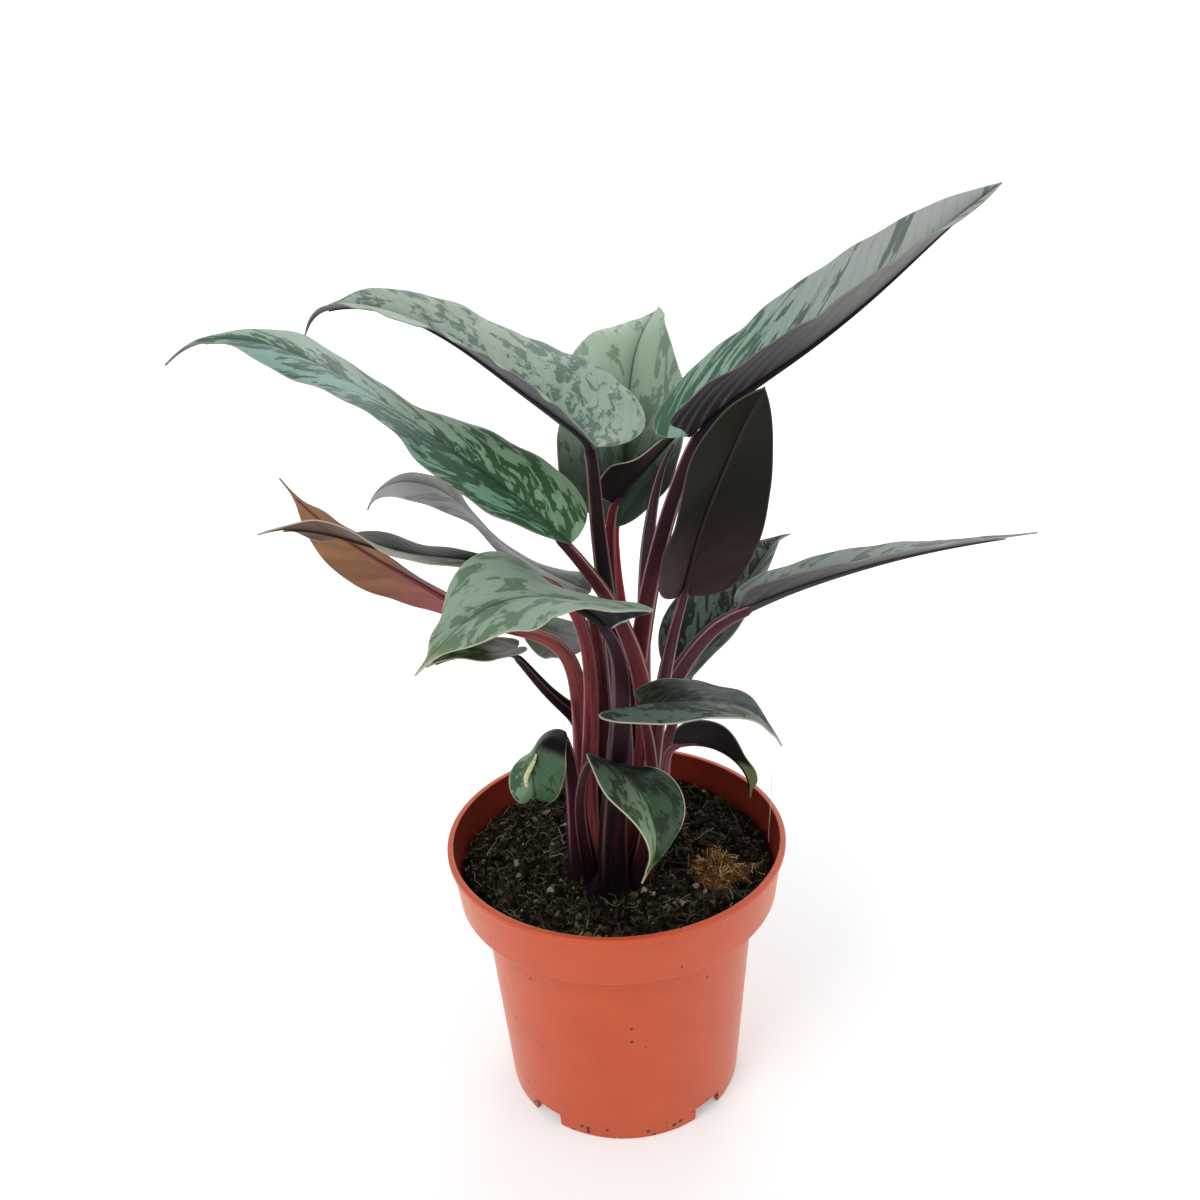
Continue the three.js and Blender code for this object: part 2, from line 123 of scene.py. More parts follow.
class Finish(Tree):
    """A material. Its colours are linear, and its grain lies in the object's own coordinates."""

    def __init__(self, name, roughness, specular, constants={}):
        self.material = bpy.data.materials.new(name)
        self.material.use_nodes = True
        self.tree = self.material.node_tree
        self.paint({"Roughness": roughness, "Specular IOR Level": specular, **constants})

    def paint(self, sockets):
        self.set(sockets, self.tree.nodes["Principled BSDF"])

    def bump(self, height, distance, strength=1.0):
        sockets = {"Height": height, "Distance": distance, "Strength": strength}
        self.paint({"Normal": self.node("Bump", {}, sockets)})

    def mix(self, share, first, second):
        sockets = {0: share, 6: first, 7: second}
        return self.node("Mix", {"data_type": "RGBA"}, sockets, 2)

    def ramp(self, share, stops):
        return self.node("ValToRGB", {"stops": stops}, {0: share})

    def step(self, value, low, high):
        """0 below low and 1 above high, with a smooth rise between them."""
        settings = {"interpolation_type": "SMOOTHSTEP"}
        return self.node("MapRange", settings, {0: value, 1: low, 2: high})

    def place(self):
        return self.node("TexCoord", output=3)

    def grain(self, scale, detail, roughness=0.55):
        sockets = {"Vector": self.place(), "Scale": scale, "Detail": detail, "Roughness": roughness}
        return self.node("TexNoise", {}, sockets)

    def drawn(self, along, across, seed, detail, roughness=0.5, distortion=0.0):
        """Noise over distances that the mesh carries, so that it follows the piece's form."""
        place = self.node("CombineXYZ", sockets={0: along, 1: across, 2: seed})
        sockets = {"Vector": place, "Scale": 1.0, "Detail": detail, "Roughness": roughness}
        return self.node("TexNoise", {}, {**sockets, "Distortion": distortion})

    def field(self, key, output=1):
        """The numbers that the mesh carries at each point under a name."""
        return self.node("Attribute", {"attribute_name": key}, output=output)

    def parts(self, key):
        """The three numbers of a field, each as a value."""
        split = self.node("SeparateXYZ", sockets={0: self.field(key)}).socket.node
        return [Value(self, split.outputs[i]) for i in range(3)]


def mesh_object(name, points, faces, finishes, face_finish=None, sharp=None):
    """A mesh object at the origin. sharp is the angle in degrees past which an edge stays crisp."""
    mesh = bpy.data.meshes.new(name)
    mesh.from_pydata([tuple(p) for p in points], [], [tuple(f) for f in faces])
    for finish in finishes:
        mesh.materials.append(finish.material)
    if face_finish is not None:
        mesh.polygons.foreach_set("material_index", face_finish)
    mesh.polygons.foreach_set("use_smooth", [True] * len(mesh.polygons))
    if sharp:
        mesh.set_sharp_from_angle(angle=math.radians(sharp))
    made = bpy.data.objects.new(name, mesh)
    bpy.context.scene.collection.objects.link(made)
    return made


# The floor's glow is painted light. Near the pot it is a little blue green, which cancels the red light that
# the pot throws onto the floor.
near_glow, far_glow, glow_from, glow_to = (0.195, 0.220, 0.222), (0.44, 0.44, 0.44), 0.06, 0.60
floor_half, sweep_start, sweep_radius = 8, 2.5, 2.5

white = {"Base Color": (0.80, 0.80, 0.80), "Emission Strength": 1.0}
studio_white = Finish("Studio white", 0.9, 0.1, white)
floor_reach = studio_white.node("VectorMath", {"operation": "LENGTH"}, {0: studio_white.place()}, 1)
floor_far = studio_white.step(floor_reach, glow_from, glow_to)
studio_white.paint({"Emission Color": studio_white.mix(floor_far, near_glow, far_glow)})
sweep = [(-floor_half, 0)]
for a in (math.radians(degrees) for degrees in range(0, 91, 5)):
    sweep.append((sweep_start + sweep_radius * math.sin(a), sweep_radius * (1 - math.cos(a))))
sweep.append((sweep_start + sweep_radius, floor_half))
floor_points = [(x, y, z) for y, z in sweep for x in (-floor_half, floor_half)]
floor_faces = [(2 * i, 2 * i + 1, 2 * i + 3, 2 * i + 2) for i in range(len(sweep) - 1)]
floor = mesh_object("Studio_floor", floor_points, floor_faces, [studio_white])

world = bpy.data.worlds.new("Studio sky")
world.use_nodes = True
world.node_tree.nodes["Background"].inputs["Color"].default_value = (1, 1, 1, 1)
world.node_tree.nodes["Background"].inputs["Strength"].default_value = 0.72
bpy.context.scene.world = world
bpy.context.scene.view_settings.view_transform = "Standard"


def soft_lamp(name, place, target, size, watts):
    lamp = bpy.data.objects.new(name, bpy.data.lights.new(name, "AREA"))
    lamp.data.size = size
    lamp.data.energy = watts
    lamp.location = place
    lamp.rotation_euler = (Vector(target) - Vector(place)).to_track_quat("-Z", "Y").to_euler()
    bpy.context.scene.collection.objects.link(lamp)


soft_lamp("Key lamp", (-0.9, -1.0, 1.5), (0, 0, 0.18), 0.9, 13)
soft_lamp("Fill lamp", (1.3, -0.6, 0.8), (0, 0, 0.15), 0.9, 3)
soft_lamp("Back lamp", (0.3, 1.3, 1.1), (0, 0, 0.2), 0.9, 6)

# The pot. A 12 cm nursery pot moulded in terracotta coloured plastic: a smooth band under a thin
# lip, a tapering body and a foot ring with four notches. Turned as one wall, then cut.
pot_height, rim_radius, lip_height, band_height = 0.101, 0.060, 0.0026, 0.020
band_top, band_foot, body_top, foot_radius = 0.0588, 0.0569, 0.0493, 0.0433
wall, lip_width, foot_ring, floor_raise, pad_radius = 0.0014, 0.0022, 0.0019, 0.0062, 0.016
notch_turns, notch_half, notch_half_height = (-138, -42, 42, 138), 0.006, 0.0054
drain_count, drain_circle, drain_radius, drain_sides, drain_ends = 8, 0.028, 0.0036, 24, (0.004, 0.010)
pot_segments, corner_radius, corner_steps, axis_gap = 192, 0.0006, 4, 0.0001
band_level = pot_height - band_height
lip_level = pot_height - lip_height


def rounded(corners, radius, steps):
    """A closed outline with each corner turned into a small arc of steps + 1 points."""
    line = []
    for i, corner in enumerate(corners):
        here = Vector(corner)
        before, after = Vector(corners[i - 1]), Vector(corners[(i + 1) % len(corners)])
        reach = min(radius, (before - here).length * 0.45, (after - here).length * 0.45)
        start = here + (before - here).normalized() * reach
        end = here + (after - here).normalized() * reach
        for k in range(steps + 1):
            t = k / steps
            line.append(tuple(start * (1 - t) ** 2 + here * 2 * t * (1 - t) + end * t * t))
    return line


def turned(line, segments, name, finishes, line_finish, sharp):
    """A closed outline of (radius, height) points turned about the pot's axis."""
    count = len(line)
    angles = np.linspace(0, 2 * math.pi, segments, endpoint=False)
    points = [(r * math.cos(a), r * math.sin(a), z) for a in angles for r, z in line]
    faces = []
    for i in range(segments):
        j = (i + 1) % segments
        for k in range(count):
            m = (k + 1) % count
            faces.append((i * count + k, j * count + k, j * count + m, i * count + m))
    return mesh_object(name, points, faces, finishes, line_finish * segments, sharp)


pot_profile = [
    (pad_radius, 0), (pad_radius + 0.001, floor_raise), (foot_radius - foot_ring, floor_raise),
    (foot_radius - foot_ring, 0), (foot_radius, 0), (foot_radius + 0.0009, 0.012),
    (foot_radius + 0.0030, 0.040), (body_top, band_level - 0.0007),
    (band_foot, band_level), (band_top, lip_level), (rim_radius, lip_level + 0.0003),
    (rim_radius, pot_height), (rim_radius - lip_width, pot_height), (rim_radius - lip_width, lip_level),
    (band_foot - wall, band_level + wall), (body_top - wall, band_level + wall - 0.0007),
    (foot_radius - wall, floor_raise + wall), (pad_radius + 0.001 + wall, floor_raise + wall),
    (pad_radius + 0.001 - wall, wall),
]
pot_line = [(axis_gap, 0)] + rounded(pot_profile, corner_radius, corner_steps) + [(axis_gap, wall)]

powdery = {"Sheen Weight": 0.6, "Sheen Roughness": 0.3, "Sheen Tint": (1.0, 0.62, 0.45)}
terracotta = Finish("Terracotta plastic", 0.5, 0.3, powdery)
pot_z = terracotta.node("SeparateXYZ", sockets={0: terracotta.place()}, output=2)
pot_cloud = terracotta.grain(60, 3)
pot_colour = terracotta.mix(pot_cloud, (0.46, 0.060, 0.018), (0.56, 0.088, 0.028))
# Specks of soil, one for a few of the cells, and larger and more of them at the foot.
speck_cells = {"Vector": terracotta.place(), "Scale": 420.0}
speck_reach = terracotta.node("TexVoronoi", {}, speck_cells)
speck_lot = terracotta.node("SeparateXYZ", sockets={0: terracotta.node("TexVoronoi", {}, speck_cells, 1)})
foot_zone = 1 - terracotta.step(pot_z, 0.003, 0.008)
speck_picked = terracotta.step(speck_lot + foot_zone * 0.40, 0.983, 0.993)
speck_round = 1 - terracotta.step(speck_reach - foot_zone * 0.10, 0.20, 0.32)
pot_colour = terracotta.mix(speck_picked * speck_round, pot_colour, (0.025, 0.010, 0.005))
terracotta.paint({"Base Color": pot_colour, "Roughness": 0.34 + 0.14 * terracotta.grain(300, 3)})
terracotta.bump(terracotta.grain(1400, 4, 0.6), 0.00012, 0.35)

# The inside is painted a darker, deeper red than the outside, as painted shade within the pot.
pot_inside_shaded = Finish("Terracotta inside", 0.5, 0.2)
shaded_inside_colour = pot_inside_shaded.mix(pot_inside_shaded.grain(90, 4), (0.17, 0.017, 0.009), (0.28, 0.031, 0.015))
pot_inside_shaded.paint({"Base Color": shaded_inside_colour})
pot_inside_shaded.bump(pot_inside_shaded.grain(1400, 3), 0.0001, 0.3)

# The inside finish starts half way round the lip's inner corner and ends at the pot's axis.
lip_inner = pot_profile.index((rim_radius - lip_width, pot_height))
inside_from = 1 + lip_inner * (corner_steps + 1) + corner_steps // 2
line_finish = [int(inside_from <= i < len(pot_line) - 1) for i in range(len(pot_line))]
pot = turned(pot_line, pot_segments, "Pot", [terracotta, pot_inside_shaded], line_finish, 40)
cutters = []
box_faces = [(0, 1, 3, 2), (4, 6, 7, 5), (0, 4, 5, 1), (2, 3, 7, 6), (0, 2, 6, 4), (1, 5, 7, 3)]
for angle in notch_turns:
    turn = Matrix.Rotation(math.radians(angle - 90), 4, "Z")
    corners = [turn @ Vector((foot_radius + x * notch_half, y * notch_half, z * notch_half_height))
               for x in (-1, 1) for y in (-1, 1) for z in (-1, 1)]
    cutters.append(mesh_object("notch", corners, box_faces, [terracotta]))
for i in range(drain_count):
    turn = (i + 0.5) / drain_count * 2 * math.pi
    drain_middle = Vector((drain_circle * math.cos(turn), drain_circle * math.sin(turn), 0))
    ring = [Vector((math.cos(a), math.sin(a), 0)) * drain_radius + drain_middle
            for a in np.linspace(0, 2 * math.pi, drain_sides, endpoint=False)]
    points = [p + Vector((0, 0, z)) for z in drain_ends for p in ring]
    faces = [(k, (k + 1) % drain_sides, (k + 1) % drain_sides + drain_sides, k + drain_sides)
             for k in range(drain_sides)]
    faces += [tuple(range(drain_sides - 1, -1, -1)), tuple(range(drain_sides, 2 * drain_sides))]
    cutters.append(mesh_object("drain", points, faces, [terracotta]))
for cutter in cutters:
    cut = pot.modifiers.new("Cut", "BOOLEAN")
    cut.operation = "DIFFERENCE"
    cut.object = cutter
    cut.solver = "EXACT"


def settled(source, name):
    """The object with its modifiers applied, as a plain mesh under a new name."""
    mesh = bpy.data.meshes.new_from_object(source.evaluated_get(bpy.context.evaluated_depsgraph_get()))
    mesh.name = name
    made = bpy.data.objects.new(name, mesh)
    bpy.context.scene.collection.objects.link(made)
    bpy.data.objects.remove(source)
    return made


pot = settled(pot, "Nursery_pot")
for cutter in cutters:
    bpy.data.objects.remove(cutter)
pot.data.polygons.foreach_set("use_smooth", [True] * len(pot.data.polygons))
pot.data.set_sharp_from_angle(angle=math.radians(35))
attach(pot, "root")
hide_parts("pot")

# The soil. Dark, uneven peat that fills the pot to the foot of its band, with crumbs, fibres and
# bits of moss on top. One closed lump with a rough top, and small pieces scattered over it.
soil_level, soil_bump = 0.091, 0.0013
soil_edge, soil_ring_count, soil_sides = band_foot - wall - 0.0006, 110, 260


def soil_top(x, y):
    """The CAD's low waves with lumps and crumbs on them."""
    mx, my = x * 1000, y * 1000
    waves = math.sin(mx * 0.19 + 1) * math.cos(my * 0.23) + 0.6 * math.sin(mx * 0.41 - my * 0.37 + 2)
    sink = (math.hypot(x, y) / band_foot) ** 4
    lumps = noise.fractal(Vector((x, y, 0)) * 150, 0.8, 2.2, 5) * 0.0016
    pits = min(0, noise.noise(Vector((x, y, 3)) * 330)) * 0.0030
    return soil_level + soil_bump * (waves * 0.6 - sink) + lumps + pits + 0.0003


def ring_faces(rings, sides, closed=True):
    """Faces between even rings of points and, on a closed body, over the first and the last."""
    faces = []
    for i in range(rings - 1):
        for j in range(sides):
            k = (j + 1) % sides
            faces.append((i * sides + j, (i + 1) * sides + j, (i + 1) * sides + k, i * sides + k))
    if closed:
        faces.append(tuple(range(sides)))
        faces.append(tuple((rings - 1) * sides + j for j in reversed(range(sides))))
    return faces


peat = Finish("Peat", 0.95, 0.05)
peat_grain = peat.grain(520, 5, 0.7)
peat_stops = [(0.3, (0.003, 0.002, 0.001)), (0.5, (0.009, 0.007, 0.004)), (0.60, (0.042, 0.032, 0.019)),
              (0.72, (0.18, 0.145, 0.092))]
moss_zone = peat.step(peat.grain(55, 3), 0.56, 0.68) * peat.step(peat.grain(900, 3), 0.48, 0.62)
peat_colour = peat.mix(moss_zone * 0.7, peat.ramp(peat_grain, peat_stops), (0.035, 0.050, 0.014))
peat.paint({"Base Color": peat_colour})
peat.bump(peat_grain, 0.0012, 1.0)

soil_angles = np.linspace(0, 2 * math.pi, soil_sides, endpoint=False)
soil_points = [(r * math.cos(a), r * math.sin(a), soil_top(r * math.cos(a), r * math.sin(a)))
               for r in np.linspace(0.0006, soil_edge, soil_ring_count) for a in soil_angles]
soil_wall = [(soil_edge - 0.0003, band_level + 0.0022), (body_top - 0.0022, band_level + 0.0005),
             (foot_radius - 0.0016, floor_raise + 0.0018), (0.018, floor_raise + 0.0018)]
soil_points += [(r * math.cos(a), r * math.sin(a), z) for r, z in soil_wall for a in soil_angles]
soil_faces = ring_faces(soil_ring_count + len(soil_wall), soil_sides)
soil = mesh_object("Peat_soil", soil_points, soil_faces, [peat])
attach(soil, "root")
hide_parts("soil")


class Growth(Tree):
    """A geometry node tree that grows small pieces on a mesh, with named inputs for their sizes.
    It ends in Realize Instances and Set Material."""

    def __init__(self, name, finish, inputs):
        self.name, self.finish, self.values = name, finish, inputs
        self.tree = bpy.data.node_groups.new(name, "GeometryNodeTree")
        face = self.tree.interface
        face.new_socket(name="Geometry", in_out="INPUT", socket_type="NodeSocketGeometry")
        face.new_socket(name="Geometry", in_out="OUTPUT", socket_type="NodeSocketGeometry")
        self.sockets = {}
        for key, value in inputs.items():
            kind = "NodeSocketInt" if isinstance(value, int) else "NodeSocketFloat"
            self.sockets[key] = face.new_socket(name=key, in_out="INPUT", socket_type=kind)
        self.entry = self.tree.nodes.new("NodeGroupInput")

    def input(self, key):
        return Value(self, self.entry.outputs[key])

    def random(self, low, high, seed=None):
        """A random number or vector for each piece."""
        seed = seed or self.input("Seed")
        if isinstance(low, tuple):
            settings, sockets = {"data_type": "FLOAT_VECTOR"}, {0: low, 1: high, "Seed": seed}
            return self.node("FunctionNodeRandomValue", settings, sockets)
        settings, sockets = {"data_type": "FLOAT"}, {2: low, 3: high, "Seed": seed}
        return self.node("FunctionNodeRandomValue", settings, sockets, 1)

    def grown(self, density, shape, turn, scale):
        """The shape at random points of the mesh, each made real with a random tone of its own."""
        points = self.node("GeometryNodeDistributePointsOnFaces", sockets={
            "Mesh": self.input("Geometry"), "Density": density, "Seed": self.input("Seed")})
        placed = self.node("GeometryNodeInstanceOnPoints", sockets={
            "Points": points, "Instance": shape, "Rotation": turn, "Scale": scale})
        tone = self.random(0.0, 1.0, self.values["Seed"] + 1)
        settings = {"data_type": "FLOAT", "domain": "INSTANCE"}
        toned = self.node("GeometryNodeStoreNamedAttribute", settings, {
            "Geometry": placed, "Name": "tone", "Value": tone})
        return self.node("GeometryNodeRealizeInstances", sockets={0: toned})

    def bent(self, geometry, grain, reach, lift=0.0):
        """The geometry with its points pushed about by noise, and raised."""
        cloud = self.node("TexNoise", {"noise_dimensions": "3D"}, {"Scale": grain, "Detail": 2.0}, 1)
        centred = self.node("VectorMath", {"operation": "SUBTRACT"}, {0: cloud, 1: (0.5, 0.5, 0.5)})
        push = self.node("VectorMath", {"operation": "SCALE"}, {0: centred, "Scale": reach})
        raised = self.node("VectorMath", {"operation": "ADD"}, {0: push, 1: (0, 0, lift)})
        return self.node("GeometryNodeSetPosition", sockets={"Geometry": geometry, "Offset": raised})

    def scattered(self, carrier, geometry):
        """The pieces grown on a mesh, as one plain mesh object."""
        whole = self.node("GeometryNodeRealizeInstances", sockets={0: geometry})
        dressed = self.node("GeometryNodeSetMaterial", sockets={0: whole})
        dressed.socket.node.inputs["Material"].default_value = self.finish.material
        end = self.tree.nodes.new("NodeGroupOutput")
        self.tree.links.new(dressed.socket, end.inputs[0])
        holder = bpy.data.objects.new(self.name + "_carrier", carrier)
        bpy.context.scene.collection.objects.link(holder)
        modifier = holder.modifiers.new(self.name, "NODES")
        modifier.node_group = self.tree
        for key, value in self.values.items():
            modifier[self.sockets[key].identifier] = value
        return settled(holder, self.name)


def tone_colour(finish, stops):
    """The colour of each small piece, picked by its random tone."""
    return finish.ramp(finish.field("tone", 2), stops)


crumb = Finish("Peat crumbs", 0.95, 0.05)
crumb_stops = [(0.0, (0.002, 0.0015, 0.001)), (0.5, (0.009, 0.007, 0.005)), (0.70, (0.060, 0.048, 0.029)),
               (0.82, (0.088, 0.098, 0.050)), (0.94, (0.25, 0.19, 0.115)), (1.0, (0.55, 0.49, 0.38))]
crumb_grain = crumb.grain(1500, 4, 0.7)
crumb_colour = crumb.mix(crumb_grain * 0.8, tone_colour(crumb, crumb_stops), (0.008, 0.006, 0.004))
crumb.paint({"Base Color": crumb_colour})
crumb.bump(crumb_grain, 0.0003, 0.8)

fibre = Finish("Coir fibre", 0.85, 0.3)
fibre_stops = [(0.0, (0.008, 0.006, 0.003)), (0.45, (0.035, 0.027, 0.016)), (0.62, (0.070, 0.070, 0.036)),
               (0.82, (0.13, 0.10, 0.065)), (0.95, (0.24, 0.20, 0.14)), (1.0, (0.52, 0.48, 0.38))]
fibre_grain = fibre.grain(2500, 2)
fibre_colour = fibre.mix(fibre_grain * 0.4, tone_colour(fibre, fibre_stops), (0.015, 0.011, 0.006))
fibre.paint({"Base Color": fibre_colour})
fibre.bump(fibre_grain, 0.00008, 0.6)


def crumbs(name, carrier, per_m2, size, seed):
    """Lumps of peat of random size and turn, each pushed out of shape by noise."""
    growth = Growth(name, crumb, {"Density": per_m2, "Size": size, "Seed": seed})
    lump = growth.node("GeometryNodeMeshUVSphere", sockets={"Radius": 1.0, "Segments": 7, "Rings": 5})
    turn = growth.random((0, 0, 0), (6.28, 6.28, 6.28))
    sizes = growth.random((0.35, 0.35, 0.3), (1.3, 1.1, 0.8))
    scale = growth.node("VectorMath", {"operation": "SCALE"}, {0: sizes, "Scale": growth.input("Size")})
    lumps = growth.grown(growth.input("Density"), lump, turn, scale)
    return growth.scattered(carrier, growth.bent(lumps, 0.7 / size, size * 1.6))


def fibres(name, carrier, finish, per_m2, length, radius, lift, curl, tilt, seed):
    """Bent strands of random length that lie on a mesh in loose drifts."""
    growth = Growth(name, finish, {"Density": per_m2, "Length": length, "Radius": radius, "Seed": seed})
    drifts = growth.node("TexNoise", {}, {"Scale": 110.0, "Detail": 2.0})
    density = growth.input("Density") * growth.node("MapRange", sockets={0: drifts, 1: 0.38, 2: 0.62})
    line = growth.node("GeometryNodeCurvePrimitiveLine", sockets={0: (-0.5, 0, 0), 1: (0.5, 0, 0)})
    line = growth.node("GeometryNodeResampleCurve", sockets={"Curve": line, "Count": 9})
    turn = growth.random((-tilt, -tilt, 0), (tilt, tilt, 6.28))
    scale = growth.random(0.2, 1.6) * growth.input("Length")
    strands = growth.grown(density, line, turn, scale)
    strands = growth.bent(strands, 1.6 / length, length * curl, lift)
    ring = growth.node("GeometryNodeCurvePrimitiveCircle", sockets={
        "Resolution": 4, "Radius": growth.input("Radius")})
    rods = growth.node("GeometryNodeCurveToMesh", sockets={
        "Curve": strands, "Profile Curve": ring, "Fill Caps": True})
    return growth.scattered(carrier, rods)


# A ring of the soil's top, which the crumbs and fibres grow on.
inner_ring, outer_ring, top_rings, top_sides = 0.006, soil_edge - 0.0012, 24, 96
top_points = []
for i in range(top_rings):
    r = inner_ring + (outer_ring - inner_ring) * i / (top_rings - 1)
    for j in range(top_sides):
        a = 2 * math.pi * j / top_sides
        top_points.append((r * math.cos(a), r * math.sin(a), soil_top(r * math.cos(a), r * math.sin(a))))
soil_carrier = bpy.data.meshes.new("soil_carrier")
soil_carrier.from_pydata(top_points, [], ring_faces(top_rings, top_sides, closed=False))

litter = {
    "Soil_fibres": dict(
        per_m2=300000.0, length=0.0034, radius=0.00010, lift=0.0009, curl=1.8, tilt=1.1, seed=12),
    "Soil_strands": dict(
        per_m2=26000.0, length=0.0085, radius=0.00016, lift=0.0012, curl=1.0, tilt=0.5, seed=17),
    "Soil_sticks": dict(
        per_m2=2600.0, length=0.012, radius=0.00042, lift=0.0012, curl=0.35, tilt=0.25, seed=21),
}
scattered = [crumbs("Peat_crumbs_large", soil_carrier, 46000.0, 0.0017, 4),
             crumbs("Peat_crumbs_small", soil_carrier, 190000.0, 0.0006, 9)]
scattered += [fibres(name, soil_carrier, fibre, **sizes) for name, sizes in litter.items()]
for piece in scattered:
    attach(piece, "root")

# The tuft of brown coir on the right of the soil. A ragged mound under a nest of curled strands.
tuft_centre, tuft_radius, tuft_height = (0.036, -0.015), 0.0105, 0.005
tuft_sides, tuft_shares, tuft_under_shares = 64, np.linspace(0.04, 1, 18), (1.0, 0.5, 0.1)


def tuft_ring(share, angle, rise):
    """A point of the mound, at a share of its radius and an angle, with its height times rise."""
    ragged = 1 + 0.13 * math.sin(angle * 3 + 1) + 0.08 * math.sin(angle * 7)
    x = tuft_centre[0] + tuft_radius * share * ragged * math.cos(angle)
    y = tuft_centre[1] + tuft_radius * 0.8 * share * ragged * math.sin(angle)
    lump = tuft_height * (1 - share ** 2.4) * (1 + 0.16 * math.sin(angle * 5 + share * 6))
    rough = noise.fractal(Vector((x, y, 1)) * 420, 0.8, 2.2, 3) * 0.0008
    return (x, y, soil_top(x, y) + rise * (0.0006 + lump + rough))


coir = Finish("Coir mat", 0.95, 0.2)
coir_grain = coir.grain(1100, 5, 0.75)
coir_stops = [(0.3, (0.02, 0.009, 0.003)), (0.5, (0.11, 0.046, 0.016)), (0.7, (0.28, 0.13, 0.05))]
coir.paint({"Base Color": coir.ramp(coir_grain, coir_stops)})
coir.bump(coir_grain, 0.0008, 0.9)

tuft_angles = np.linspace(0, 2 * math.pi, tuft_sides, endpoint=False)
tuft_points = [tuft_ring(share, angle, 1) for share in tuft_shares for angle in tuft_angles]
tuft_points += [tuft_ring(share, angle, -0.1) for share in tuft_under_shares for angle in tuft_angles]
tuft_faces = ring_faces(len(tuft_shares) + len(tuft_under_shares), tuft_sides)
tuft = mesh_object("Coir_tuft", tuft_points, tuft_faces, [coir])

coir_strand = Finish("Coir strands", 0.8, 0.1)
strand_stops = [(0.0, (0.03, 0.010, 0.003)), (0.4, (0.15, 0.070, 0.020)), (0.75, (0.48, 0.26, 0.10)),
                (1.0, (0.90, 0.66, 0.38))]
coir_strand.paint({"Base Color": tone_colour(coir_strand, strand_stops)})
strands = fibres("Coir_tuft_strands", tuft.data, coir_strand, per_m2=1500000.0, length=0.0055,
                 radius=0.00011, lift=0.0003, curl=1.1, tilt=1.2, seed=31)
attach(tuft, "root")
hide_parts("fibre_tuft")
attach(strands, "root")

# The leaves. Each blade is two skins round one drawn mid-surface, rounded at the base, drawn out
# to the tip and folded, twisted or drooping as its row says. The upper side is silver green with
# dark green blotches along the lateral veins, the underside purple brown, the margin pale.
MM = 0.001
# One row for each leaf, in the CAD's millimetres and degrees: where the blade starts, its length,
# half width and lobes, the midrib's heading and climb and the rise of its left and right halves at
# five stations, and the stalk's foot, bends, radii and sheath. wave and quilt are the swells of its
# margin and its face, hook draws in its last fifth, and tip_droop turns its very end down.
# Colours are as seen, 0 to 255. A blade's come in pairs, for its base and its tip, and turn says
# between which shares of its length one gives way to the other. dark is how much of it is blotched,
# patch the blotches per millimetre across and along the lateral veins, and round how far they turn
# from the veins' slant. margin, veins and tip are the strengths of the pale edge, the veins under
# its base with the painted highlight between them, and the yellow green end. tint darkens and a
# little recolours the half right of the midrib where tinted is 1, or the left where it is -1, from
# shade_from millimetres out, as painted shade on that half. Stalk colours run from foot to neck and
# hold painted shade, darkest at the foot and under the leaves.
# What a row leaves out is as usual.
usual_leaf = dict(
    quilt=0.5, hook=0.6, tip_droop=0, sheath=0.6, turn=(0.1, 0.75), dark=(0.5, 0.45), patch=(0.16, 0.11),
    round=0.0, margin=0.35, veins=0.15, tip=0.0, shaded_half=1, shade_from=0, half_shade_tint=(1, 1, 1))
